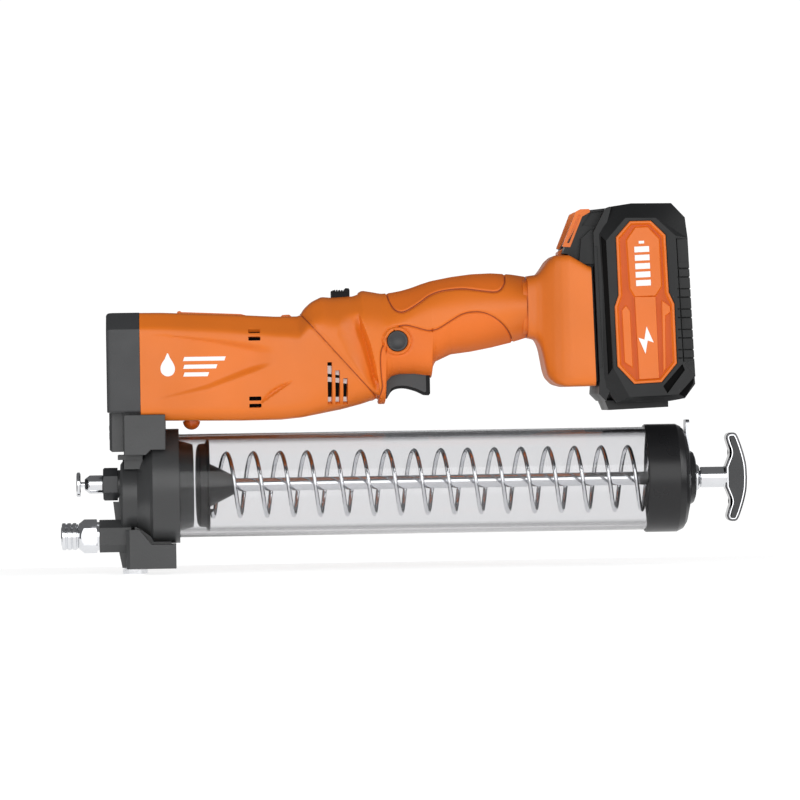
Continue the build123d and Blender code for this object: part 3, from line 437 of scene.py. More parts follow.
def section_points(x):
    """One cross-section of the housing as rows of (y, z), from the top seam down to the bottom seam."""
    top, bottom, half = TOP(x), BOTTOM(x), HALF(x)
    centre, rise = (top + bottom) / 2, (top - bottom) / 2
    power = POWER(x)
    angle = np.radians(np.linspace(90, -90, 721))
    direction = np.stack([np.cos(angle), np.sin(angle)])
    total = np.zeros_like(angle)
    for facet, sign in ((UPPER(x), 1), (LOWER(x), -1)):
        cut = min(facet, 0.8 * half, 0.95 * rise)
        reach = (half + rise - cut) / math.sqrt(2)
        total += np.maximum(0, (direction[0] + sign * direction[1]) / math.sqrt(2) / reach) ** power
    for normal, reach in (((1, 0), half), ((0, 1), rise), ((0, -1), rise)):
        total += np.maximum(0, (direction[0] * normal[0] + direction[1] * normal[1]) / reach) ** power
    radius = total ** (-1 / power)
    y, z = radius * direction[0], radius * direction[1]
    y *= half / y.max()
    z = np.where(z > 0, z * rise / z.max(), z * rise / -z.min())
    run = np.concatenate([[0], np.cumsum(np.hypot(np.diff(y), np.diff(z)))])
    even = np.linspace(0, run[-1], HALF_ROWS + 1)
    return np.column_stack([np.interp(even, run, y), np.interp(even, run, z) + centre])


TOP, BOTTOM = smooth_line(TOP_LINE, 0.9), smooth_line(BOTTOM_LINE, 0.25)
HALF, POWER = smooth_line(HALF_WIDTH, 5), smooth_line(CORNER_POWER, 4)
UPPER, LOWER = smooth_line(UPPER_FACET, 4), smooth_line(LOWER_FACET, 3)


def housing_columns():
    """Where the mesh has its columns: closer together where the shape is busy."""
    spans = [(49.0, 138.0, 0.80), (138.0, 189.5, 0.60), (189.5, 197.0, 0.25), (197.0, 222.7, 0.60),
             (222.7, 224.7, 0.25), (224.7, 280.3, 0.64)]
    columns = [np.linspace(a, b, int(round((b - a) / step)), endpoint=False) for a, b, step in spans]
    return np.concatenate(columns + [[spans[-1][1]]])


def line_groove(x, z, line, depth, width):
    distance, _ = nearest(x, z, line)
    return depth * np.exp(-((distance / width) ** 2))


def leaf_recess(x, z):
    """The shallow leaf-shaped recess on the motor housing, deepest towards its rounded rear end."""
    start, end = 55.8, 129.0
    along = np.clip((x - start) / (end - start), 0, 1)
    upper_out = np.interp(x, [55.8, 75, 95, 118, 129], [120.2, 118.4, 116.6, 113.6, 111.8])
    upper_in = np.interp(x, [55.8, 75, 95, 112, 129], [120.2, 117.4, 113.9, 109.9, 106.5])
    lower_out = np.interp(x, [55.8, 89, 124, 129], [80.7, 86.2, 98.4, 100.4])
    lower_in = np.interp(x, [55.8, 87, 112, 129], [80.7, 90.0, 99.8, 104.0])
    down = ease(upper_out - z, 0, np.maximum(0.3, upper_out - upper_in))
    up = ease(z - lower_out, 0, np.maximum(0.3, lower_in - lower_out))
    fade = 1 - ease(x, 112, 131)
    return 3.8 * along * np.minimum(down, up) * fade * (x > start)


def small_scoop(x, z):
    """The slanted thumb-sized dent low on the motor housing."""
    start, end = np.array([118.0, 76.2]), np.array([140.5, 91.3])
    run = end - start
    length = np.hypot(*run)
    along = ((x - start[0]) * run[0] + (z - start[1]) * run[1]) / length
    across = ((z - start[1]) * run[0] - (x - start[0]) * run[1]) / length
    bulge = np.sin(np.pi * np.clip(along / length, 0, 1))
    width = 3.2 * bulge + 0.01
    inner = np.clip(across / width, 0, 1)
    profile = np.minimum(1, 3.5 * (1 - inner)) * ease(inner, 0, 0.25)
    return np.where((across > 0) & (across < width), 1.6 * bulge * profile, 0)


def flute(x, z):
    """The swept hollow in front of the trigger guard: a crisp rear edge and a soft front."""
    edge_x = np.interp(z, [79, 83.2, 100, 112, 123.9, 134], [192.6, 191.8, 189.2, 186.4, 182.2, 179.0])
    ahead = edge_x - x
    width = np.interp(z, [80, 90, 105, 118, 132], [2.4, 8.0, 15.5, 18.5, 10.0])
    along = ease(z, 79, 92) * (1 - ease(z, 121, 135))
    wall = ease(ahead, 0, 1.6)
    slope = np.clip(1 - ahead / width, 0, 1)
    return 6.6 * along * wall * slope ** 1.4 * (ahead > 0)


def surface_depth(x, z, side, width_share):
    """How far each surface point lies below the plain housing, in millimetres."""
    on_side = ease(width_share, 0.72, 0.9)
    depth = on_side * (leaf_recess(x, z) + small_scoop(x, z) + flute(x, z))
    busy = x > 140
    zone = (slice(None), busy[0]) if x.ndim == 2 else busy
    xb, zb = x[zone], z[zone]
    extra = np.zeros_like(xb)
    start, end = np.array(SEAM[0]), np.array(SEAM[1])
    seam_line = polygon_points([start, end], closed=False, step=2)
    offset = np.array([1.5, 1.35])
    bead_line = polygon_points([start + offset, end + offset * 0.3], closed=False, step=2)
    extra += line_groove(xb, zb, seam_line, 1.0, 0.55)
    extra += line_groove(xb, zb, bead_line, 0.45, 0.5)
    palm, finger, flap = curve_points(PALM_EDGE), curve_points(FINGER_EDGE), curve_points(FLAP_EDGE)
    extra += line_groove(xb, zb, palm, 0.85, 0.62) - line_groove(xb, zb, palm - [0, -1.3], 0.18, 0.9)
    extra += line_groove(xb, zb, finger, 0.85, 0.62) - line_groove(xb, zb, finger - [0, 1.3], 0.18, 0.9)
    extra += line_groove(xb, zb, flap, 0.8, 0.5)
    if side < 0:
        away = np.hypot(xb - BUTTON[0], zb - BUTTON[1])
        ring = ease(away, BUTTON_HOLE - 0.2, BUTTON_HOLE + 0.5) * (1 - ease(away, 7.9, 8.5))
        extra = extra * ease(away, 7.6, 8.6) - 0.75 * ring
        extra += 0.5 * np.exp(-(((away - 8.9) / 0.5) ** 2))
    depth[zone] += extra
    return depth


def surface_point(x, z, side, sink):
    """The point of the plain housing side at (x, z), sunk below the surface."""
    rows = section_points(x)
    return (x, side * (float(np.interp(z, rows[::-1, 1], rows[::-1, 0])) - sink), z)


def slot_outlines():
    """Closed (x, z) outlines of the openings through each side wall."""
    outlines = []
    for x, low, high in ((160.1, 76.7, 101.8), (164.7, 76.6, 96.9), (169.4, 76.5, 92.1)):
        outlines.append([(x, low), (x + 2.8, low), (x + 2.8, high), (x, high)])
    for z in (75.4, 79.7, 115.3, 119.7):
        outlines.append([(113.4, z), (120.6, z), (120.6, z + 2.4), (113.4, z + 2.4)])
    return [polygon_points(outline) for outline in outlines]


def circle(centre, radius):
    turn = np.radians(np.arange(0, 360, 6))
    return np.column_stack([centre[0] + radius * np.cos(turn), centre[1] + radius * np.sin(turn)])


def build_housing():
    """The two case halves and the two soft grips, from one surface cut along the grips' edges."""
    columns = housing_columns()
    rows = np.stack([section_points(x) for x in columns], axis=1)
    half_y, z = rows[..., 0], rows[..., 1]
    x = np.broadcast_to(columns, z.shape)
    palm_outline = np.vstack([curve_points(PALM_EDGE), [(268, 175), (196.9, 175)]])
    finger_outline = np.vstack([curve_points(FLAP_EDGE)[::-1], curve_points(FINGER_EDGE),
                                [(272.8, 60), (190.2, 60)]])
    share = half_y / half_y.max(axis=0)
    pieces = {"palm": [], "finger": []}
    for side, name in ((-1, "housing_left"), (1, "housing_right")):
        rounds = [(BUTTON, BUTTON_HOLE)] if side < 0 else [(place, 3.3) for place in CASE_SCREWS]
        cutters = slot_outlines() + [circle(place, radius) for place, radius in rounds]
        pieces[name] = grid_cut(x, half_y, z, share, side, palm_outline, finger_outline, cutters)
    return pieces


def grid_cut(x, half_y, z, share, side, palm_outline, finger_outline, cutters):
    """Sorts one side's quads into case, palm grip and finger grip, snaps the edges and dents the surface."""
    x, z = x.copy(), z.copy()
    centre_x = (x[:-1, :-1] + x[1:, 1:]) / 2
    centre_z = (z[:-1, :-1] + z[1:, 1:] + z[:-1, 1:] + z[1:, :-1]) / 4
    centre_y = (half_y[:-1, :-1] + half_y[1:, 1:]) / 2
    kind = np.zeros(centre_x.shape, int)
    kind[inside(centre_x, centre_z, palm_outline)] = 1
    kind[inside(centre_x, centre_z, finger_outline)] = 2
    flat_side = centre_y > 12
    for outline in cutters:
        kind[inside(centre_x, centre_z, outline) & flat_side] = 9
    seat = (centre_x > 163.3) & (centre_x < 179.8) & (centre_y < 6.5) & (centre_z > 120)
    slot_gap = (centre_x > 195.6) & (centre_x < 222.4) & (centre_y < 8.3) & (centre_z < 110)
    kind[seat | slot_gap] = 9
    padded = np.pad(kind, 1, mode="edge")
    corners = [padded[:-1, :-1], padded[1:, :-1], padded[:-1, 1:], padded[1:, 1:]]
    y = half_y.copy()
    for code, outlines in ((1, [palm_outline]), (2, [finger_outline]), (9, cutters)):
        has = np.any([c == code for c in corners], axis=0)
        lacks = np.any([c != code for c in corners], axis=0)
        border = has & lacks
        for outline in outlines:
            distance, place = nearest(x[border], z[border], np.vstack([outline, outline[:1]]))
            close = distance < 0.75
            bx, bz = x[border], z[border]
            bx[close], bz[close] = place[close].T
            x[border], z[border] = bx, bz
    near = (z > 120) & (np.abs(y - 6.5) < 0.45) & (x > 162.9) & (x < 180.2)
    y[near] = 6.5
    near = (z < 110) & (np.abs(y - 8.3) < 0.45) & (x > 195.3) & (x < 222.7)
    y[near] = 8.3
    depth = surface_depth(x, z, side, share)
    depth += 0.4 * np.exp(-((y / 0.45) ** 2))
    points = np.stack([x, side * y, z], axis=-1)
    step_x = np.gradient(points, axis=1)
    step_r = np.gradient(points, axis=0)
    normal = np.cross(step_r, step_x) * side
    normal /= np.linalg.norm(normal, axis=-1, keepdims=True) + 1e-12
    outward = np.sign(np.sum(normal[HALF_ROWS // 2, 10] * [0, side, 0])) or 1
    normal *= outward
    skin = points - normal * depth[..., None]
    inner = points - normal * np.maximum(SHELL, depth + 1.1)[..., None]
    inner[..., 1] = np.where(y == 0, 0, inner[..., 1])
    return {"skin": skin, "inner": inner, "kind": kind, "side": side}


def shell_faces(grids, codes):
    """Closed shell mesh of the quads whose kind is in codes, from one or more side grids."""
    points, faces, offset = [], [], 0
    for grid in grids:
        kind, side = grid["kind"], grid["side"]
        mask = np.isin(kind, codes)
        count = grid["skin"][..., 0].size
        width = grid["skin"].shape[1]
        r, c = np.nonzero(mask)
        quads = np.column_stack([r * width + c, r * width + c + 1, (r + 1) * width + c + 1,
                                 (r + 1) * width + c])
        if side < 0:
            quads = quads[:, ::-1]
        edges = {}
        for quad in quads:
            for a, b in zip(quad, np.roll(quad, -1)):
                edges[(a, b)] = True
        walls = [(a, b) for a, b in edges if (b, a) not in edges]
        points.append(grid["skin"].reshape(-1, 3))
        points.append(grid["inner"].reshape(-1, 3))
        faces += (quads + offset).tolist()
        faces += (quads[:, ::-1] + offset + count).tolist()
        faces += [(b + offset, a + offset, a + offset + count, b + offset + count) for a, b in walls]
        offset += 2 * count
    points = np.vstack(points)
    used = np.unique(np.concatenate([np.array(f) for f in faces]))
    renumber = np.zeros(len(points), int)
    renumber[used] = np.arange(len(used))
    return points[used], [tuple(int(renumber[k]) for k in face) for face in faces]


def make_housing():
    grids = build_housing()
    left, right = grids["housing_left"], grids["housing_right"]
    for name, grid in (("housing_left", left), ("housing_right", right)):
        points, faces = shell_faces([grid], [0])
        add_piece(f"{name}_case", points, faces, "tool", "housing_orange", [name])
    for name, code in (("palm_grip", 1), ("finger_grip", 2)):
        points, faces = shell_faces([left, right], [code])
        add_piece(f"{name}_pad", points, faces, "tool", "grip_orange", [name])


make_housing()


# ---- forms: closed meshes that are cut and joined before they become pieces ----------------
FOOT_PIVOT = (320.0, 85.4)
FOOT_TILT = math.radians(2.0)
BARREL_Z = 29.4
MOTOR_Z = 100.8
BLEEDER_Z = 31.0


class Form:
    """A closed mesh in millimetres. Cuts and joins are exact booleans."""

    def __init__(self, points, faces):
        self.mesh = bpy.data.meshes.new("form")
        self.mesh.from_pydata([tuple(float(v) for v in p) for p in points], [], [tuple(f) for f in faces])
        solid = bmesh.new()
        solid.from_mesh(self.mesh)
        bmesh.ops.remove_doubles(solid, verts=solid.verts, dist=1e-5)
        bmesh.ops.recalc_face_normals(solid, faces=solid.faces)
        solid.to_mesh(self.mesh)
        solid.free()

    def combine(self, others, operation):
        for other in others:
            base = bpy.data.objects.new("base", self.mesh)
            tool = bpy.data.objects.new("tool", other.mesh)
            for obj in (base, tool):
                scene.collection.objects.link(obj)
            change = base.modifiers.new("combine", "BOOLEAN")
            change.operation = operation
            change.solver = "EXACT"
            change.object = tool
            graph = bpy.context.evaluated_depsgraph_get()
            self.mesh = bpy.data.meshes.new_from_object(base.evaluated_get(graph))
            for obj in (base, tool):
                bpy.data.objects.remove(obj)
        return self

    def cut(self, *others):
        return self.combine(others, "DIFFERENCE")

    def join(self, *others):
        return self.combine(others, "UNION")

    def add(self, *others):
        """Lays other closed shapes into the mesh as they are, without a boolean."""
        gathered = bmesh.new()
        for mesh in (self.mesh, *[other.mesh for other in others]):
            gathered.from_mesh(mesh)
        gathered.to_mesh(self.mesh)
        gathered.free()
        return self

    def leaned(self):
        """Turned from upright to the lean of the foot and battery."""
        pivot = Matrix.Translation((FOOT_PIVOT[0], 0, FOOT_PIVOT[1]))
        self.mesh.transform(pivot @ Matrix.Rotation(-FOOT_TILT, 4, "Y") @ pivot.inverted())
        return self

    def piece(self, name, body, slot, replaces=(), bevel=0.3, segments=2, sharp=30, material=None):
        self.mesh.transform(Matrix.Scale(MM, 4))
        obj = place_piece(name, self.mesh, body, slot, replaces, material)
        if bevel:
            round_edges(obj, bevel, segments, sharp)
        else:
            self.mesh.set_sharp_from_angle(angle=math.radians(sharp))
        return obj


def place_piece(name, mesh, body, slot, replaces, material=None):
    """Dresses a mesh, rides it on its body and hides the CAD nodes it stands for."""
    mesh.materials.clear()
    mesh.materials.append(MATERIALS[material or slot])
    mesh.shade_smooth()
    obj = bpy.data.objects.new(name, mesh)
    scene.collection.objects.link(obj)
    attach(obj, body)
    if replaces:
        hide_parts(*replaces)
    return obj


def round_edges(obj, width, segments=2, sharp=30):
    """Rounds the hard edges, so that they catch the light as moulded and machined edges do."""
    edge = obj.modifiers.new("edges", "BEVEL")
    edge.width = width * MM
    edge.segments = segments
    edge.limit_method = "ANGLE"
    edge.angle_limit = math.radians(sharp)
    edge.harden_normals = True


def rounded(outline, radius, steps=4):
    """Rounds the corners of a closed outline. Points on a lathe's axis (second value 0) stay sharp."""
    corners = np.array(outline, float)
    result = []
    for k, corner in enumerate(corners):
        before, after = corners[k - 1], corners[(k + 1) % len(corners)]
        to_before, to_after = before - corner, after - corner
        reach_before, reach_after = np.linalg.norm(to_before), np.linalg.norm(to_after)
        cosine = np.clip(to_before @ to_after / (reach_before * reach_after), -1, 1)
        half = math.acos(cosine) / 2
        if corner[1] <= 1e-6 or half > math.radians(84) or half < math.radians(3):
            result.append(corner)
            continue
        trim = min(radius / math.tan(half), 0.45 * reach_before, 0.45 * reach_after)
        start = corner + to_before / reach_before * trim
        end = corner + to_after / reach_after * trim
        for t in np.linspace(0, 1, steps + 1):
            result.append((1 - t) ** 2 * start + 2 * t * (1 - t) * corner + t * t * end)
    return np.array(result)


def extruded(outline, span, place):
    """A flat outline carried between two values of the third coordinate; place builds a point."""
    count = len(outline)
    points = [place(a, b, end) for end in span for a, b in outline]
    faces = [tuple(range(count)), tuple(range(count, 2 * count))]
    faces += [(k, (k + 1) % count, count + (k + 1) % count, count + k) for k in range(count)]
    return Form(points, faces)


def prism(outline, y):
    """An (x, z) outline carried along Y."""
    return extruded(outline, y, lambda a, b, c: (a, c, b))


def prism_x(outline, x):
    """A (y, z) outline carried along X."""
    return extruded(outline, x, lambda a, b, c: (c, a, b))


def cuboid(x, y, z):
    return prism([(x[0], z[0]), (x[1], z[0]), (x[1], z[1]), (x[0], z[1])], y)


def lathe(profile, axis="X", origin=(0, 0, 0), steps=112):
    """A closed loop of (along, radius) turned about an axis through origin."""
    points, rings = [], []
    angles = np.linspace(0, 2 * math.pi, steps, endpoint=False)
    for along, radius in profile:
        if radius <= 1e-6:
            rings.append([len(points)] * steps)
            ring = [(along, 0.0, 0.0)]
        else:
            rings.append(list(range(len(points), len(points) + steps)))
            ring = [(along, radius * math.cos(a), radius * math.sin(a)) for a in angles]
        points += ring
    faces = []
    for first, second in zip(rings, rings[1:] + rings[:1]):
        for k in range(steps):
            n = (k + 1) % steps
            quad = [first[k], first[n], second[n], second[k]]
            corner = list(dict.fromkeys(quad))
            if len(corner) > 2:
                faces.append(corner)
    turn = {"X": lambda u, a, b: (u, a, b), "Y": lambda u, a, b: (a, u, b), "Z": lambda u, a,
            b: (a, b, u)}[axis]
    return Form([np.add(turn(*p), origin) for p in points], faces)


def lofted(rings):
    """A closed solid through rings of (x, y, z) points, all of the same count."""
    count = len(rings[0])
    points = np.vstack(rings)
    faces = [tuple(range(count)), tuple(range((len(rings) - 1) * count, len(rings) * count))]
    for k in range(len(rings) - 1):
        for m in range(count):
            n = (m + 1) % count
            faces.append((k * count + m, k * count + n, (k + 1) * count + n, (k + 1) * count + m))
    return Form(points, faces)


def rod(axis, origin, radius, span, steps=48):
    return lathe([(span[0], 0), (span[0], radius), (span[1], radius), (span[1], 0)], axis, origin, steps)


def hexagon(across, x, y=0.0, z=0.0):
    """A hexagonal bar along X with a flat on each side in Y."""
    corner = across / math.sqrt(3)
    angles = np.radians(np.arange(30, 390, 60))
    return prism_x([(y + corner * math.cos(a), z + corner * math.sin(a)) for a in angles], x)


def tube(path, radius, steps=14):
    """Round wire along a line of points, with closed ends."""
    path = np.array(path, float)
    run = np.gradient(path, axis=0)
    run /= np.linalg.norm(run, axis=1, keepdims=True)
    side = np.cross(run[0], (0.3, 0.2, 1.0))
    side /= np.linalg.norm(side)
    points = []
    for centre, ahead in zip(path, run):
        side = side - ahead * (side @ ahead)
        side /= np.linalg.norm(side)
        other = np.cross(ahead, side)
        for a in np.linspace(0, 2 * math.pi, steps, endpoint=False):
            points.append(centre + radius * (math.cos(a) * side + math.sin(a) * other))
    faces = []
    for ring in range(len(path) - 1):
        for k in range(steps):
            a, b = ring * steps + k, ring * steps + (k + 1) % steps
            faces.append((a, b, b + steps, a + steps))
    last = (len(path) - 1) * steps
    faces += [tuple(range(steps)), tuple(range(last, last + steps))]
    return Form(points, faces)


# ---- battery ------------------------------------------------------------------------------
# The case's side, seen from the left: (x, z, how far in from the flat side)
PLATEAU = [(326.2, 170.9, 0), (338.3, 184.8, 0), (356.4, 184.5, 0), (368.1, 173.7, 0), (371.4, 98.0, 0),
           (378.3, 90.5, 0), (368.6, 79.4, 0), (339.3, 78.3, 0), (330.0, 95.2, 0)]
OUTLINE = [(321.0, 176.6, 6.5), (328.8, 191.7, 7.5), (342.5, 193.7, 7.5), (366.3, 193.5, 6.5),
           (374.2, 184.8, 4.6),
           (375.6, 172.4, 3.6), (378.8, 92.5, 3.2), (379.2, 85.5, 2.6), (372.9, 77.1, 2.6),
           (363.7, 75.6, 4.0),
           (331.9, 74.8, 5.5), (324.0, 85.0, 4.6), (323.4, 90.0, 4.6)]
SHOULDER = [(324.1, 174.4, 2.4), (334.4, 185.9, 2.4)]
CASE_HALF = 37.5
BADGE = [(340.9, 182.8), (353.3, 182.9), (362.0, 174.3), (363.4, 140.3), (366.6, 133.3), (367.6, 98.0),
         (358.4, 86.9), (342.1, 86.1), (332.2, 96.8), (331.1, 132.0), (333.5, 139.1), (332.5, 173.4)]
BADGE_UPPER = [(343.6, 179.8), (351.8, 180.1), (359.0, 172.3), (360.0, 143.5), (355.8, 137.4), (342.8, 137.0),
               (339.6, 142.5), (338.0, 171.8)]
BADGE_LOWER = [(342.8, 138.0), (355.8, 138.0), (357.2, 89.0), (344.8, 88.4)]
LEFT_FLUTE = [(335.0, 130.0), (337.8, 133.6), (340.6, 129.4), (341.8, 95.0), (336.2, 98.8)]
RIGHT_FLUTE = [(358.8, 136.3), (364.5, 132.0), (364.8, 128.5), (361.6, 126.0), (361.4, 95.0), (359.3, 92.0)]
RUNG_HEIGHTS = (101.0, 113.0, 125.1, 137.2, 149.2)


def faceted_case():
    """The case's main solid: two flat sides with chamfer facets that meet along the outline."""
    q, r = len(PLATEAU), len(SHOULDER)
    ring = PLATEAU + SHOULDER + OUTLINE
    count = len(ring)
    o = q + r
    side_faces = [tuple(range(q)), (0, 1, q + 1, q), (q, q + 1, o + 1, o), (q + 1, o + 2, o + 1),
                  (1, o + 2, q + 1),
                  (1, 2, o + 3, o + 2), (2, 3, o + 5, o + 4, o + 3), (3, 4, o + 6, o + 5),
                  (4, 5, o + 7, o + 6),
                  (5, 6, o + 8, o + 7), (6, o + 9, o + 8), (6, 7, o + 10, o + 9),
                  (7, 8, o + 12, o + 11, o + 10),
                  (8, 0, q, o, o + 12)]
    points, faces = [], []
    for side in (-1, 1):
        base = len(points)
        points += [(x, side * (CASE_HALF - inset), z) for x, z, inset in ring]
        for face in side_faces:
            shifted = [base + k for k in face]
            if face[0] and len(shifted) > 3:
                faces += [(shifted[0], shifted[k], shifted[k + 1]) for k in range(1, len(shifted) - 1)]
            else:
                faces.append(tuple(shifted))
    edge = len(OUTLINE)
    for k in range(edge):
        a, b = o + k, o + (k + 1) % edge
        faces.append((a, b, count + b, count + a))
    return Form(points, faces)


def grown(outline, by):
    """A closed outline moved outwards by a distance, each edge parallel to itself."""
    corners = np.array(outline, float)
    area = np.sum(corners[:, 0] * np.roll(corners[:, 1], -1) - np.roll(corners[:, 0], -1) * corners[:, 1])
    result = []
    for k, corner in enumerate(corners):
        into, out_of = corner - corners[k - 1], corners[(k + 1) % len(corners)] - corner
        into, out_of = into / np.linalg.norm(into), out_of / np.linalg.norm(out_of)
        turn = 1 if area > 0 else -1
        first, second = turn * np.array((into[1], -into[0])), turn * np.array((out_of[1], -out_of[0]))
        middle = first + second
        result.append(corner + middle * by / max(0.3, 1 + first @ second))
    return np.array(result)


def tapered(outline, y, draft):
    """An (x, z) outline that shrinks by draft from y[0] to y[1], like a moulded panel."""
    inner = grown(outline, -draft)
    count = len(inner)
    points = [(a, y[0], b) for a, b in outline] + [(a, y[1], b) for a, b in inner]
    faces = [tuple(range(count)), tuple(range(count, 2 * count))]
    faces += [(k, (k + 1) % count, count + (k + 1) % count, count + k) for k in range(count)]
    return Form(points, faces)


SIDE_SLOT = [(323.9, 174.4), (326.6, 171.2), (329.4, 95.6), (326.8, 91.6)]
SIDE_SLOT_DEPTHS = (3.6, 0.7, 1.0, 3.4)      # how far in the black insert ends at each corner
CORNER_SLOT = [(370.9, 97.5), (372.4, 93.9), (361.8, 80.1), (359.3, 84.5)]
CORNER_NOTCH = [(378.6, 90.1), (384, 90), (384, 70), (372.8, 70), (368.4, 79.5)]
COLUMN = [(368.7, 172.2), (385, 172.2), (385, 99.0), (371.9, 99.0)]
COLUMN_EDGE = [(368.2, 172.2), (369.1, 172.2), (372.3, 99.0), (371.4, 99.0)]


def case_band(side, near, far=-6.0):
    """The Y range on one side of the battery case, as depths in from its widest face."""
    return sorted((side * (CASE_HALF - near), side * (CASE_HALF - far)))


def build_battery_case():
    """Faceted shell with slots, a ribbed column at the back and vents in its rear face; near-black liners in
    the slots are painted shade.
    """
    case = faceted_case()
    rungs = []
    for z in RUNG_HEIGHTS:
        x = 371.7 - (z - 98) * 0.044
        rungs.append(cuboid((x + 0.4, 378.3 - (z - 98) * 0.040), (-CASE_HALF + 2.4, CASE_HALF - 2.4),
                            (z, z + 5.0)))
    rungs.append(cuboid((369.5, 375.4), (-CASE_HALF + 2.9, CASE_HALF - 2.9), (155.0, 158.0)))
    for side in (-1, 1):
        case.cut(prism(SIDE_SLOT, case_band(side, 6.5)), prism(CORNER_SLOT, case_band(side, 4.0)),
                 prism(CORNER_NOTCH, case_band(side, 7.5)),
                 prism(COLUMN, case_band(side, 3.6)), prism(grown(BADGE, 0.5), case_band(side, 1.2)))
    case.join(*rungs)
    for side in (-1, 1):
        case.cut(prism(COLUMN_EDGE, case_band(side, 7)))
        for z in RUNG_HEIGHTS:
            for edge in (z, z + 5.0):
                case.cut(cuboid((368.6, 385), case_band(side, 7), (edge - 0.4, edge + 0.4)))
    for k in range(8):
        z = 99.0 + 8.6 * k
        case.cut(cuboid((376.4, 390), (-27, 27), (z, z + 1.4)))
    case.join(prism([(327.8, 70.7), (363.5, 72.1), (363.5, 76.4), (325.5, 76.4)], (-24, 24)))
    case.cut(cuboid((318, 324.9), (-40, 40), (60, 200)).leaned())
    case.piece("battery_case_shell", "battery", "battery_black", ["battery_case"], bevel=0.4, segments=2,
               sharp=24)
    # Near-black liners at the bottom of the side slots, the corner slot and the notch: painted shade in the
    # openings.
    for side, name in ((-1, "left"), (1, "right")):
        outer = [(x, side * (CASE_HALF - inset), z) for (x, z), inset in zip(SIDE_SLOT, SIDE_SLOT_DEPTHS)]
        inner = [(x, side * (CASE_HALF - 6.6), z) for x, z in SIDE_SLOT]
        slot_shade = lofted([outer, inner])
        slot_shade.add(prism(CORNER_SLOT, case_band(side, 4.1, 2.4)),
                  prism([(368.9, 80.3), (378.4, 90.0), (378.0, 86.0), (372.9, 77.6)],
                        case_band(side, 7.6, 6.6)))
        slot_shade.piece(f"battery_slot_shade_{name}", "battery", "battery_black", (), bevel=0,
                    material="painted_shade_black")


def frame_ring(outline, levels):
    """A closed ring solid from (y, how far the outline is grown) levels, each joined to the next."""
    loops = [[(a, y, b) for a, b in grown(outline, by)] for y, by in levels]
    count = len(outline)
    faces = []
    for k in range(len(loops)):
        first, second = k * count, (k + 1) % len(loops) * count
        faces += [(first + m, first + (m + 1) % count, second + (m + 1) % count,
                   second + m) for m in range(count)]
    return Form([point for loop in loops for point in loop], faces)


def case_face(side, value):
    """Y of a plane that stands out from one side of the battery case by value."""
    return side * (CASE_HALF + value)


def build_badges():
    """Orange side panels: a raised rim round a sunk floor with two raised fields and two flutes."""
    for side, name in ((-1, "left"), (1, "right")):
        badge = frame_ring(BADGE, [(case_face(side, -1.1), 0), (case_face(side, 0.35), 0),
                                   (case_face(side, 0.75), -0.5), (case_face(side, 0.75), -1.3),
                                   (case_face(side, -0.75), -2.4), (case_face(side, -1.1), -2.4)])
        base = case_face(side, -1.1)
        badge.add(tapered(BADGE_UPPER, (base, case_face(side, 0.55)), 1.1),
                  tapered(BADGE_LOWER, (base, case_face(side, 0.5)), 0.35),
                  tapered(LEFT_FLUTE, (base, case_face(side, 0.1)), 0.6),
                  tapered(RIGHT_FLUTE, (base, case_face(side, 0.1)), 0.6))
        badge.piece(f"battery_badge_{name}", "battery", "badge_orange",
                    ["battery_badges"] if side < 0 else (),
                    bevel=0.14, segments=2, sharp=20)
        # The sunk floor is given a darker orange: painted shade in the recess.
        floor = prism(grown(BADGE, -1.9), sorted((base, case_face(side, -0.7))))
        floor.piece(f"badge_floor_{name}", "battery", "badge_orange", (), bevel=0.1, material="badge_recess_shade")


def build_rail_cover():
    """The inner half of the battery: seam plate, rail block and latch tower."""
    plate = prism([(319.4, 176.6), (326.9, 190.9), (330.4, 191.8), (325.6, 175.0), (328.5, 84.0),
                   (325.3, 76.2),
                   (321.2, 80.5), (321.9, 89.0)], (-33.4, 33.4))
    tower = prism([(305.2, 156.5), (304.9, 164.1), (301.6, 164.5), (303.0, 168.4), (312.4, 184.6),
                   (317.6, 190.2), (327.6, 191.2), (322.0, 176.8),
                   (322.2, 156.5)], (-24.6, 24.6))
    dish = [prism([(313.2, 181.0), (318.8, 189.0), (325.9, 189.6), (322.3, 180.4)],
                  sorted((s * 22.6, s * 30.0)))
            for s in (-1, 1)]
    shoulder = [prism([(311.0, 158.0), (312.5, 173.0), (318.4, 178.6), (321.4, 176.0), (321.9, 158.0)],
                      sorted((s * 22, s * 28.6))) for s in (-1, 1)]
    rail = cuboid((304.4, 316.0), (-27.3, 27.3), (88.2, 157.0)).leaned()
    neck = cuboid((315.8, 322.0), (-24.1, 24.1), (88.2, 160.0)).leaned()
    plate.join(tower, *shoulder, neck, rail)
    plate.cut(*dish)
    room = prism([(298.0, 154.0), (299.0, 166.5), (311.5, 188.6), (318.0, 188.6), (310.6, 168.5),
                  (307.0, 154.0)],
                 (-10.4, 10.4))
    carrier = cuboid((300, 308.6), (-17.6, 17.6), (80, 156.6)).leaned()
    slots = [cuboid((300, 315.0), (y - 1.6, y + 1.6), (80, 158.5)).leaned() for y in (-12, -4, 4, 12)]
    plate.cut(room, carrier, *slots)
    plate.cut(*[cuboid((318, 324.4), sorted((s * 32.7, s * 36)), (96, 168)).leaned() for s in (-1, 1)])
    plate.piece("battery_rail_cover", "battery", "battery_black", ["rail_cover"], bevel=0.35, segments=2,
                sharp=28)


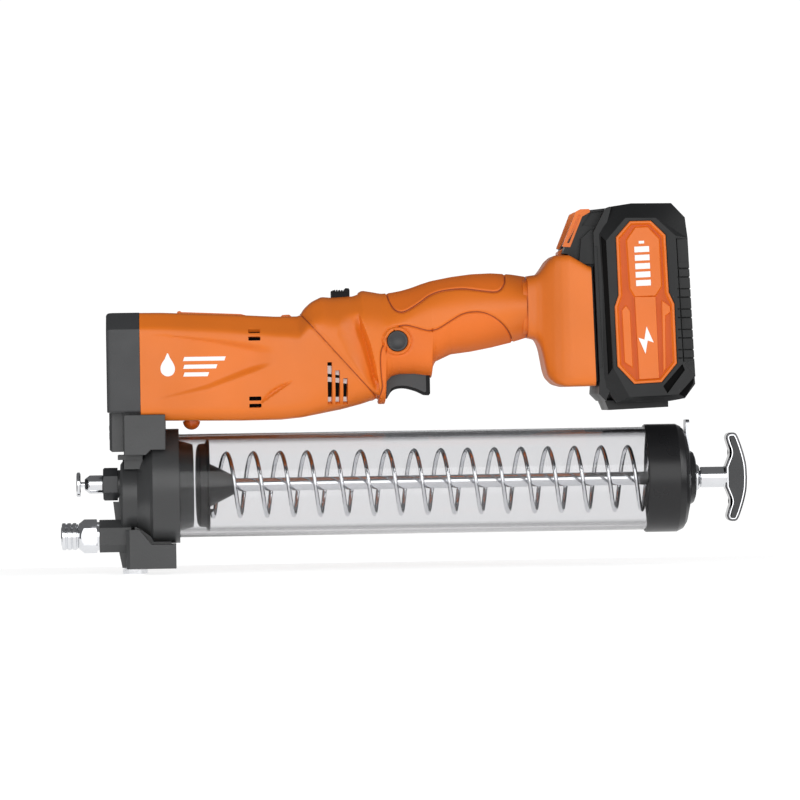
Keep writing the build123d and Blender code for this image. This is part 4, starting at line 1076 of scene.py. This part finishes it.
def build_latch():
    """Orange release button: a long pad with a grooved face and its hook."""
    pad = prism(rounded([(300.2, 159.2), (300.0, 166.0), (304.4, 168.6), (312.5, 187.4), (314.9, 187.4),
                         (308.4, 169.5), (304.6, 165.8), (304.2, 159.2)], 0.8), (-8.8, 8.8))
    for k in range(4):
        pad.cut(rod("Y", (305.4 + 1.6 * k, 0, 172.0 + 3.7 * k), 0.55, (-7.0, 7.0), 16))
    pad.piece("battery_latch_button", "battery_latch", "badge_orange", ["battery_latch"], bevel=0.3)
    for side, name in ((-1, "left"), (1, "right")):
        strip = prism(rounded([(301.4, 168.6), (309.8, 189.4), (312.6, 190.8), (318.0, 190.9), (318.4, 189.0),
                               (313.6, 186.4), (306.2, 168.2)], 0.7), sorted((side * 20.4, side * 24.9)))
        strip.cut(prism([(304.2, 171.0), (311.4, 187.6), (312.6, 187.2), (305.6, 170.6)],
                        sorted((side * 24.2, side * 26))))
        strip.piece(f"latch_trim_{name}", "battery", "badge_orange", (), bevel=0.25)


def mark_piece(name, outlines, depth_at, body, slot, thickness=0.22):
    """Plain white painted shapes that lie on a side face: depth_at gives that face's y."""
    points, faces = [], []
    for outline in outlines:
        base, count = len(points), len(outline)
        lift = [math.copysign(thickness, depth_at(x, z)) for x, z in outline]
        points += [(x, depth_at(x, z) - 0.3 * math.copysign(1, rise), z) for (x, z),
                   rise in zip(outline, lift)]
        points += [(x, depth_at(x, z) + rise, z) for (x, z), rise in zip(outline, lift)]
        faces += [tuple(range(base, base + count)), tuple(range(base + count, base + 2 * count))]
        faces += [(base + k, base + (k + 1) % count, base + count + (k + 1) % count, base + count + k)
                  for k in range(count)]
    form = Form(points, faces)
    form.piece(name, body, slot, (), bevel=0, sharp=40, material="mark_white")


def turned_about(outline, centre, angle, size=1.0):
    """An outline drawn round (0, 0), turned, scaled and moved to a centre."""
    c, s = math.cos(angle), math.sin(angle)
    return [(centre[0] + size * (a * c - b * s), centre[1] + size * (a * s + b * c)) for a, b in outline]


BAR = [(-1.7, -4.4), (1.7, -4.4), (1.7, 4.4), (-1.7, 4.4)]
BOLT = [(-6.0, 0.5), (1.2, 3.3), (0.2, 0.7), (6.0, -0.5), (-1.2, -3.3), (-0.2, -0.7)]


def build_badge_marks():
    """A charge gauge and a bolt, painted white up the badge."""
    up = math.radians(92)
    axis = np.array((math.cos(up), math.sin(up)))
    for side, name in ((-1, "left"), (1, "right")):
        face = side * (CASE_HALF + 0.52)
        shapes = []
        for k in range(5):
            centre = np.array((348.4, 146.0)) + axis * 5.0 * k
            shapes.append(turned_about(BAR, centre, up))
        nub = [(-0.8, -1.6), (0.8, -1.6), (0.8, 1.6), (-0.8, 1.6)]
        shapes.append(turned_about(nub, np.array((348.4, 146.0)) + axis * 24.2, up))
        shapes.append(turned_about(BOLT, (349.4, 112.0), up, 1.35))
        mark_piece(f"badge_marks_{name}", shapes, lambda x, z, y=face: y, "battery", "badge_orange")


build_battery_case()
build_badges()
build_rail_cover()
build_latch()
build_badge_marks()


# ---- battery foot -------------------------------------------------------------------------
FOOT_TOP = [(280.9, 151.8), (287.0, 152.6), (290.0, 156.3), (293.0, 160.6), (296.8, 163.6), (306.0, 163.5),
            (311.5, 160.4), (317.3, 157.0), (319.5, 156.4)]
FOOT_BOTTOM = [(280.9, 114.8), (286.0, 113.6), (289.0, 107.0), (290.4, 97.5), (292.0, 91.0), (296.5, 86.6),
               (302.0, 85.0), (319.5, 85.2)]
FOOT_WIDTH = [(280.9, 18.9), (285.5, 19.4), (288.5, 20.8), (292.0, 24.2), (296.0, 28.0), (300.0, 30.9),
              (305.0, 32.6),
              (310.0, 33.0), (319.5, 33.0)]
FOOT_POWER = [(280.9, 4.2), (287, 5.0), (294, 10.0), (300, 15.0), (319.5, 17.0)]
FOOT_ROWS = 96


def ring_points(top, bottom, half, power, rows):
    """A closed rounded-rectangle ring of (y, z) points, from the top seam down the left and up the right."""
    angle = np.radians(np.linspace(90, -90, 721))
    y, z = np.cos(angle), np.sin(angle)
    centre, rise = (top + bottom) / 2, (top - bottom) / 2
    radius = ((np.abs(y) / half) ** power + (np.abs(z) / rise) ** power) ** (-1 / power)
    y, z = radius * y, radius * z + centre
    run = np.concatenate([[0], np.cumsum(np.hypot(np.diff(y), np.diff(z)))])
    even = np.linspace(0, run[-1], rows + 1)
    y, z = np.interp(even, run, y), np.interp(even, run, z)
    left = np.column_stack([-y, z])
    right = np.column_stack([y, z])[::-1]
    return np.vstack([left, right[1:-1]])


def build_foot():
    top, bottom = smooth_line(FOOT_TOP, 0.6), smooth_line(FOOT_BOTTOM, 0.8)
    half, power = smooth_line(FOOT_WIDTH, 1.0), smooth_line(FOOT_POWER, 2)
    rings = []
    for x in np.concatenate([np.arange(281.0, 309, 0.5), np.linspace(309.5, 318.9, 12)]):
        ring = ring_points(float(top(x)), float(bottom(x)), float(half(x)), float(power(x)), FOOT_ROWS)
        shear = (121 - ring[:, 1]) * 0.0285 * ease(x, 292, 318)
        rings.append(np.column_stack([x + shear, ring]))
    foot = lofted(rings)
    foot.cut(cuboid((304.0, 335), (-24.4, 24.4), (88, 200)).leaned(),
             cuboid((304.0, 316.3), (-27.6, 27.6), (87.5, 158)).leaned(),
             cuboid((302.4, 306), (-9, 9), (150, 200)).leaned())
    foot.piece("battery_foot_shell", "tool", "housing_orange", ["battery_foot"], bevel=0.4, segments=2,
               sharp=40)
    collar = ring_points(149.6, 116.8, 16.9, 3.2, 40)
    neck = lofted([np.column_stack([np.full(len(collar), x), collar]) for x in (278.2, 281.4)])
    neck.piece("foot_neck_seal", "tool", "housing_orange", (), bevel=0.2)


build_foot()


# ---- gearbox cover, bracket and pump head -------------------------------------------------
COVER_SCREWS = [(-24.0, 80.5), (24.0, 80.5), (-22.5, 122.0), (22.5, 122.0)]


def build_screw_bosses():
    """Moulded collars that hold the case screws where the right half curves away."""
    collars = []
    for x, z in CASE_SCREWS:
        top = float(HALF(x)) - 2.0
        surface = surface_point(x, z, 1, 0)[1]
        if surface < top:
            profile = rounded([(surface - 4.0, 3.1), (surface - 4.0, 4.6), (top, 4.2), (top, 3.1)], 0.35, 3)
            collars.append(lathe(profile, "Y", (x, 0, z), 64))
    first, *others = collars
    first.add(*others)
    first.piece("case_screw_collars", "tool", "housing_orange", (), bevel=0, sharp=50)


def cover_outline(half, top, bottom, facet):
    """The gearbox cover seen from the front: wide facets at the top, small ones below."""
    right = [(half - facet, top), (half, top - facet), (half, bottom + 1.2), (half - 1.2, bottom)]
    left = [(-y, z) for y, z in reversed(right)]
    return rounded(right + left, 0.9, 3)


def build_gearbox_cover():
    """Dark casting with wide top facets, a rounded front edge and four sunk screws."""
    rings = []
    for x, inset in ((29.1, 1.7), (29.5, 0.95), (30.2, 0.4), (31.2, 0.1), (33.0, 0.0), (48.8, 0.0)):
        ring = cover_outline(32.0 - inset, 133.1 - inset, 73.6 + 0.3 * inset, 10.0)
        rings.append(np.column_stack([np.full(len(ring), x), ring]))
    cover = lofted(rings)
    for y, z in COVER_SCREWS:
        cover.cut(rod("X", (0, y, z), 2.3, (25, 40.0)), rod("X", (0, y, z), 4.6, (25, 33.0)))
    cover.cut(cuboid((38.6, 60), (-27, 27), (60, 128)))
    cover.piece("gearbox_cover_shell", "tool", "cover_black", ["gearbox_cover"], bevel=0.25, sharp=34)


def build_bracket_cheeks():
    """Side plates of the bracket, which clasp the bottom of the motor housing."""
    for side, name in ((-1, "left"), (1, "right")):
        cheek = prism([(38.9, 72.4), (63.4, 72.4), (63.4, 51.4), (54.6, 51.4), (51.6, 48.4), (38.9, 48.4)],
                      sorted((side * 25.0, side * 32.0)))
        cheek.piece(f"bracket_cheek_{name}", "tool", "head_black", (), bevel=0.5)


build_screw_bosses()
build_gearbox_cover()
build_bracket_cheeks()


def build_head_web():
    """Fills the notch between the pump head's cone and its base."""
    web = prism([(44.0, 6.0), (60.0, -3.0), (66.0, -3.0), (66.0, -7.0), (52.0, -7.0), (44.0, 2.0)],
                (-8.5, 8.5))
    web.piece("pump_head_web", "tool", "head_black", (), bevel=0.3)


build_head_web()


def round_nodes():
    """Gives the carried-over castings and machined parts rounded edges."""
    widths = {"guide_cover": 0.45, "head_bracket": 0.5, "pump_head": 0.45, "head_socket": 0.5,
              "bleeder_nut": 0.35,
              "relief_plug": 0.3, "cover_screws": 0.2, "guide_screws": 0.2, "case_screws": 0.15, "yoke": 0.3,
              "bearing_plate": 0.3, "ring_gear": 0.1, "motor_can": 0.4, "crank": 0.3, "switch_module": 0.4}
    for name, width in widths.items():
        round_edges(frame["nodes"][name], width)


round_nodes()


# ---- outlet and bleeder -------------------------------------------------------------------
def build_outlet():
    """Plated hexagon fitting, and the locking sleeve with its three grip rings."""
    hexagonal = hexagon(17.6, (10.6, 21.6))
    ends = lathe(rounded([(10.6, 0), (10.6, 7.6), (14.4, 10.6), (20.9, 10.6), (21.6, 9.6), (21.6, 0)],
                         0.3), steps=96)
    hexagonal.combine([ends], "INTERSECT")
    hexagonal.join(lathe(rounded([(0.0, 0), (0.0, 5.4), (0.7, 6.0), (11.5, 6.0), (11.5, 0)], 0.3), steps=96),
                   lathe([(21.0, 0), (21.0, 8.6), (22.9, 8.6), (22.9, 6.5), (28.0, 6.5), (28.0, 0)],
                         steps=96))
    hexagonal.cut(rod("X", (0, 0, 0), 4.5, (-1, 10.0)), rod("X", (0, 0, 0), 2.2, (5, 40)))
    hexagonal.piece("outlet_hexagon", "tool", "chrome", ["outlet_fitting"], bevel=0.25)
    profile = [(0.5, 6.15), (0.5, 7.3)]
    for start in (0.5, 3.7, 6.9):
        profile += [(start + 0.35, 8.2), (start + 2.2, 8.2), (start + 2.6, 7.5), (start + 3.1, 7.5)]
    profile += [(10.4, 7.0), (10.4, 6.15)]
    lathe(rounded(profile, 0.3, 3)).piece(
        "coupler_grip", "coupler_sleeve", "chrome", ["coupler_sleeve"], bevel=0, sharp=50)


def build_bleeder():
    """Push-button bleeder: flat head, thin stem and plated guide sleeve."""
    sleeve = lathe(rounded([(14.6, 1.8), (14.6, 3.3), (17.6, 5.5), (25.5, 5.5), (25.5, 3.95), (27.9, 3.95),
                            (27.9, 1.8)], 0.5), origin=(0, 0, BLEEDER_Z))
    sleeve.piece("bleeder_guide", "tool", "chrome", ["bleeder_sleeve"], bevel=0, sharp=50)
    head = lathe(rounded([(9.7, 0), (9.7, 6.6), (10.3, 7.4), (11.7, 7.4), (12.2, 6.7), (12.2, 1.55),
                          (33.0, 1.55),
                          (33.0, 0)], 0.35), origin=(0, 0, BLEEDER_Z))
    head.piece("bleeder_button", "bleeder_pin", "chrome", ["bleeder_pin"], bevel=0, sharp=50)
    shoulder = lathe(rounded([(34.0, 4.3), (34.0, 7.9), (34.6, 8.4), (36.6, 8.4), (36.6, 4.3)], 0.3),
                     origin=(0, 0, BLEEDER_Z))
    shoulder.piece("bleeder_shoulder", "tool", "head_black", (), bevel=0, sharp=50)


build_outlet()
build_bleeder()


# ---- barrel, follower and T-handle --------------------------------------------------------
SPRING_PITCH = 15.93
SPRING_FIRST_TOP = 100.6
SPRING_SPAN = (90.9, 369.5)


def on_barrel(profile, corner=0.4, steps=144):
    return lathe(rounded(profile, corner, 3), origin=(0, 0, BARREL_Z), steps=steps)


def build_barrel():
    clear = on_barrel([(57.0, 28.0), (57.0, 31.0), (371.0, 31.0), (371.0, 28.0)], 0.2, 160)
    clear.piece("barrel_clear_tube", "barrel", "barrel_clear", ["barrel_tube"], bevel=0, sharp=60)
    cap = on_barrel([(350.4, 31.05), (350.4, 32.0), (351.4, 32.5), (369.6, 32.5), (373.4, 30.6),
                     (375.4, 27.4),
                     (377.2, 19.5), (377.6, 16.6), (380.2, 15.0), (381.2, 12.4), (381.2, 4.4), (355.6, 4.4),
                     (355.6, 10.0), (371.0, 10.0), (371.0, 31.05)], 0.7)
    cap.cut(cuboid((373.4, 378.6), (-7.6, 7.6), (17.8, 80)), cuboid((372.6, 376), (-7.6, 7.6), (52, 80)))
    cap.piece("barrel_end_cap", "barrel", "cap_black", ["end_cap"], bevel=0.25, sharp=45)
    bush = on_barrel([(381.2, 4.06), (381.2, 7.8), (382.6, 7.8), (383.6, 6.8), (383.6, 4.06)], 0.25)
    bush.piece("rod_bush_ring", "barrel", "chrome", ["rod_bush"], bevel=0, sharp=50)


def build_spring():
    turns = [(x - SPRING_FIRST_TOP) / SPRING_PITCH for x in SPRING_SPAN]
    path = []
    for t in np.arange(turns[0], turns[1], 1 / 56):
        a = 2 * math.pi * t
        path.append((SPRING_FIRST_TOP + SPRING_PITCH * t, -19.0 * math.sin(a), BARREL_Z + 19.0 * math.cos(a)))
    spring = tube(path, 1.25, 12).piece("follower_spring", "barrel", "chrome", ["main_spring"], bevel=0,
                                        sharp=60)
    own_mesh(spring)


def build_follower():
    cup = on_barrel([(83.4, 0), (83.4, 23.6), (84.2, 24.9), (88.0, 25.2), (88.7, 27.7), (89.5, 27.7),
                     (89.5, 0)], 0.5)
    cup.piece("follower_cup", "follower", "rubber_black", ["follower_seal"], bevel=0, sharp=50)
    cone = on_barrel([(89.5, 0), (89.5, 13.0), (90.6, 13.0), (104.6, 5.9), (105.5, 5.4), (105.5, 0)], 0.3)
    cone.piece("follower_guide_cone", "follower", "follower_black", ["follower_cone"], bevel=0, sharp=40)
    bar = on_barrel([(84.0, 0), (84.0, 3.6), (84.5, 4.0), (398.0, 4.0), (398.0, 0)], 0.2, 64)
    bar.piece("follower_bar", "follower", "chrome", ["follower_rod"], bevel=0, sharp=50)


def build_t_handle():
    """Bowed plated grip with a rounded rim, dark flat sides and a sleeve on the rod."""
    half = 26.6
    upper = [(399.2, 6.1), (400.4, 9.0), (402.2, 14.5), (400.9, 19.5), (399.9, 23.6), (401.0, 26.0),
             (403.6, half),
             (406.4, 25.4), (409.6, 17.0), (411.8, 8.0), (412.3, 0.0)]
    curve = curve_points(upper, step=1.2)
    outline = np.vstack([curve, (curve * (1, -1))[::-1][1:]])
    outline[:, 1] += BARREL_Z
    bar = prism(outline, (-6.0, 6.0))
    bar.piece("t_handle_bar", "follower", "chrome", ["t_handle"], bevel=1.2, segments=4, sharp=40,
              material="dark_chrome")
    sleeve = on_barrel([(384.2, 4.1), (384.2, 5.8), (384.7, 6.2), (398.4, 6.2), (400.2, 7.0),
                        (400.2, 4.1)], 0.3, 72)
    sleeve.piece("t_handle_sleeve", "follower", "chrome", (), bevel=0, sharp=50)
    for side, name in ((-1, "left"), (1, "right")):
        rim = frame_ring(outline, [(side * 5.6, -1.1), (side * 6.2, -1.25), (side * 6.2, -1.7),
                                   (side * 5.6, -1.85)])
        rim.piece(f"t_handle_rim_{name}", "follower", "chrome", (), bevel=0, sharp=40)
        plate = prism(grown(outline, -1.7), sorted((side * 5.6, side * 6.10)))
        root = [(401.1, -6.4), (401.1, 6.4), (402.2, 10.0), (404.4, 14.0), (404.4, -14.0), (402.2, -10.0)]
        plate.add(prism([(x, BARREL_Z + z) for x, z in root], sorted((side * 5.6, side * 6.14))))
        plate.piece(f"t_handle_inlay_{name}", "follower", "chrome", (), bevel=0, sharp=20,
                    material="cover_black")


def build_latch_plate():
    """Spring-steel plate that grips the rod, rounded at its thumb end and at the toe it rocks on."""
    plate = cuboid((375.6, 377.8), (-7, 7), (19.7, 61.0)).join(
        prism_x(rounded([(-7, 50), (7, 50), (7, 64.3), (-7, 64.3)], 3.0, 6), (375.6, 377.8)),
        rod("Y", (376.7, 0, 19.7), 1.1, (-7, 7), 24))
    plate.cut(rod("X", (0, 0, BARREL_Z), 4.9, (370, 390)))
    plate.piece("rod_latch_plate", "rod_latch", "chrome", ["rod_latch"], bevel=0.25, sharp=35,
                material="steel")


build_barrel()
build_spring()
build_follower()
build_t_handle()
build_latch_plate()


# ---- controls, light and the small things on the housing ----------------------------------
def build_trigger():
    face = curve_points([(195.9, 79.4), (199.6, 84.4), (206, 85.6), (213, 84.0), (218.6, 81.4)], step=1.0)
    outline = np.vstack([face, [(221.2, 81.2), (222.0, 82.2), (222.0, 99.0), (195.9, 99.0)]])
    trigger = prism(outline, (-8.0, 8.0))
    trigger.cut(prism([(198.0, 70), (198.0, 86.6), (206, 88.4), (214, 86.6), (219.8, 84.6), (219.8, 70)],
                      (-5.6, 5.6)))
    trigger.join(rod("Z", (209, 0, 0), 2.2, (86.0, 104.6), 24))
    trigger.piece("trigger_finger", "trigger", "control_black", ["trigger"], bevel=0.7, segments=3, sharp=40)
    heel = np.array([(221.4, 81.6), (222.1, 82.4), (222.1, 96.0), (219.7, 96.0), (219.7, 83.6)])
    lip = prism(np.vstack([face[4:], heel, (face[4:] + (0, 1.7))[::-1]]), (-8.12, 8.12))
    lip.piece("trigger_lip", "trigger", "control_black", (), bevel=0.4, material="trim_black")


def build_lock_button():
    dish = [(-22.4 + 1.5 * (1 - (r / 5.3) ** 2), r) for r in np.linspace(5.3, 0, 9)]
    button = lathe([(-13.0, 0), (-13.0, 6.1), (-22.0, 6.1), (-22.4, 5.8)] + dish, "Y",
                   (BUTTON[0], 0, BUTTON[1]), 72)
    button.piece("lock_on_button", "lock_button", "control_black", ["lock_button"], bevel=0, sharp=50)


def build_selector():
    """Thumb slide: a stepped cap with grip ridges and a raised rear end."""
    cap = prism(rounded([(163.7, 140.2), (163.7, 144.6), (166.0, 145.4), (171.4, 145.1), (172.4, 146.3),
                         (174.4, 146.1),
                         (174.8, 145.2), (174.8, 140.2)], 0.4, 3), (-5.5, 5.5))
    cap.cut(*[cuboid((x, x + 0.7), (-6, 6), (144.5, 147)) for x in (166.2, 167.7, 169.2, 170.7)])
    cap.cut(*[cuboid((164.8, 173.6), sorted((s * 4.9, s * 6)), (142.2, 143.6)) for s in (-1, 1)])
    cap.join(cuboid((165.6, 172.4), (-3.0, 3.0), (136.5, 141.6)))
    cap.piece("selector_cap", "selector", "control_black", ["selector_slide"], bevel=0.2,
              material="trim_black")


def build_work_light():
    """Glossy dome under the motor housing."""
    dome = [(68.0 - 5.2 * math.sin(a), 5.2 * math.cos(a)) for a in np.linspace(0, math.pi / 2, 14)]
    dome[-1] = (68.0 - 5.2, 0.0)
    lens = lathe([(72.5, 0), (72.5, 4.3), (68.0, 4.3)] + dome, "Z", (79.0, 0, 0), 72)
    lens.piece("work_light_dome", "tool", "lens_orange", ["light_lens"], bevel=0, sharp=50)


def build_top_ribs():
    rib = prism(rounded([(73.5, 129), (73.5, 133.4), (75.5, 133.3), (109.5, 131.7), (113.4, 130.6),
                         (113, 129)], 0.8),
                (-5, 5))
    rib.join(rod("Y", (72.7, 0, 132.5), 1.55, (-4, 4), 28))
    rib.piece("top_rib", "tool", "housing_orange", (), bevel=0.5, segments=3, sharp=40)
    bump = prism(rounded([(132, 128.4), (134.2, 130.7), (138.4, 130.9), (141, 128.6)], 0.9), (-7, 7))
    bump.piece("top_bump", "tool", "housing_orange", (), bevel=0.6, segments=3, sharp=40)


def build_groove_cords():
    """Dark brown cords sunk along the joint lines round the soft grips and along the seam of the front
    housing: painted shade in the grooves.
    """
    seam = polygon_points([(144.6, 130.8), (189.6, 80.6)], closed=False, step=1.5)
    lines = [("palm", curve_points(PALM_EDGE, step=0.8), 0.75, 0.40),
             ("finger", curve_points(FINGER_EDGE, step=0.8), 0.75, 0.40),
             ("flap", curve_points(FLAP_EDGE, step=0.8), 0.70, 0.30),
             ("seam", seam, 0.85, 0.28)]
    for side, hand in ((-1, "left"), (1, "right")):
        for name, line, sink, radius in lines:
            kept = [(x, z) for x, z in line if BOTTOM(x) + 2.5 < z < TOP(x) - 2.0
                    and (side > 0 or math.hypot(x - BUTTON[0], z - BUTTON[1]) > 8.6)]
            runs = [[kept[0]]]
            for before, here in zip(kept, kept[1:]):
                if math.dist(before, here) > 4.0:
                    runs.append([])
                runs[-1].append(here)
            cord, *others = [tube([surface_point(x, z, side, sink) for x, z in run], radius, 8)
                             for run in runs if len(run) > 3]
            cord.add(*others)
            cord.piece(f"{name}_joint_{hand}", "tool", "housing_orange", (), bevel=0, sharp=60,
                       material="groove_shade_brown")


def vent_strip(low, high, lean, sinks, side):
    """A thin strip behind the large vents that follows the wall, sunk by the two depths."""
    rings = []
    for z in np.linspace(low, high, max(2, int((high - low) / 3))):
        outer = [surface_point(x, z + lean * (x - 166.0), side, sinks[0]) for x in (159.0, 166.0, 173.4)]
        inner = [surface_point(x, z + lean * (x - 166.0), side, sinks[1]) for x in (173.4, 166.0, 159.0)]
        rings.append(outer + inner)
    return lofted(rings)


def build_vent_liners():
    """Black sheets just inside the vents, painted shade behind the openings, with the pale baffles in front of
    the motor's end.
    """
    for side, name in ((-1, "left"), (1, "right")):
        # Painted shade: near-black sheets behind the front and side vents.
        shade_sheet = cuboid((112.6, 121.6), sorted((side * 27.0, side * 27.6)), (74.2, 83.2))
        shade_sheet.add(cuboid((112.6, 121.6), sorted((side * 27.0, side * 27.6)), (114.2, 123.2)),
                   vent_strip(77.6, 103.5, 0, (3.4, 4.0), side))
        shade_sheet.piece(f"vent_shade_sheet_{name}", "tool", "housing_orange", (), bevel=0, material="painted_shade_black")
        baffle = vent_strip(78.4, 81.2, 0, (2.9, 3.3), side)
        baffle.add(vent_strip(89.6, 92.4, -0.12, (2.9, 3.3), side),
                   vent_strip(94.2, 99.0, -0.15, (2.9, 3.3), side))
        baffle.piece(f"vent_baffle_{name}", "tool", "housing_orange", (), bevel=0, material="baffle_white")


def build_motor_sleeve():
    """Dark air guide round the motor, seen through the vents."""
    sleeve = lathe([(98.0, 23.6), (98.0, 25.4), (126.0, 25.4), (126.0, 23.6)], origin=(0, 0, MOTOR_Z))
    sleeve.piece("motor_air_guide", "tool", "fan_plastic", (), bevel=0)


def build_housing_mark():
    """A white grease drop and stripes in the recess, where such a tool carries its name."""
    drop = [(0.0, 7.4), (-1.6, 4.2), (-3.6, 1.0), (-4.3, -1.6), (-3.6, -4.4), (-1.6, -6.0), (0.6, -6.3),
            (2.8, -5.4),
            (4.1, -3.2), (4.1, -0.6), (3.0, 2.0), (1.4, 4.6)]
    shapes = [curve_points(turned_about(drop, (65.4, 101.2), 0), closed=True, step=0.8)]
    for k, (start, end) in enumerate(((74.5, 99.0), (74.5, 94.0), (74.5, 89.0))):
        z = 105.0 - 4.6 * k
        slant = 0.35
        shapes.append([(start, z - 1.2), (end, z - 1.2), (end + slant * 2.4, z + 1.2),
                       (start + slant * 2.4, z + 1.2)])

    for side, name in ((-1, "left"), (1, "right")):
        def face(x, z, side=side):
            return side * float(HALF(x) - leaf_recess(np.array([x]), np.array([z]))[0])
        mark_piece(f"housing_mark_{name}", shapes, face, "tool", "housing_orange")


build_trigger()
build_lock_button()
build_selector()
build_work_light()
build_top_ribs()
build_groove_cords()
build_vent_liners()
build_motor_sleeve()
build_housing_mark()
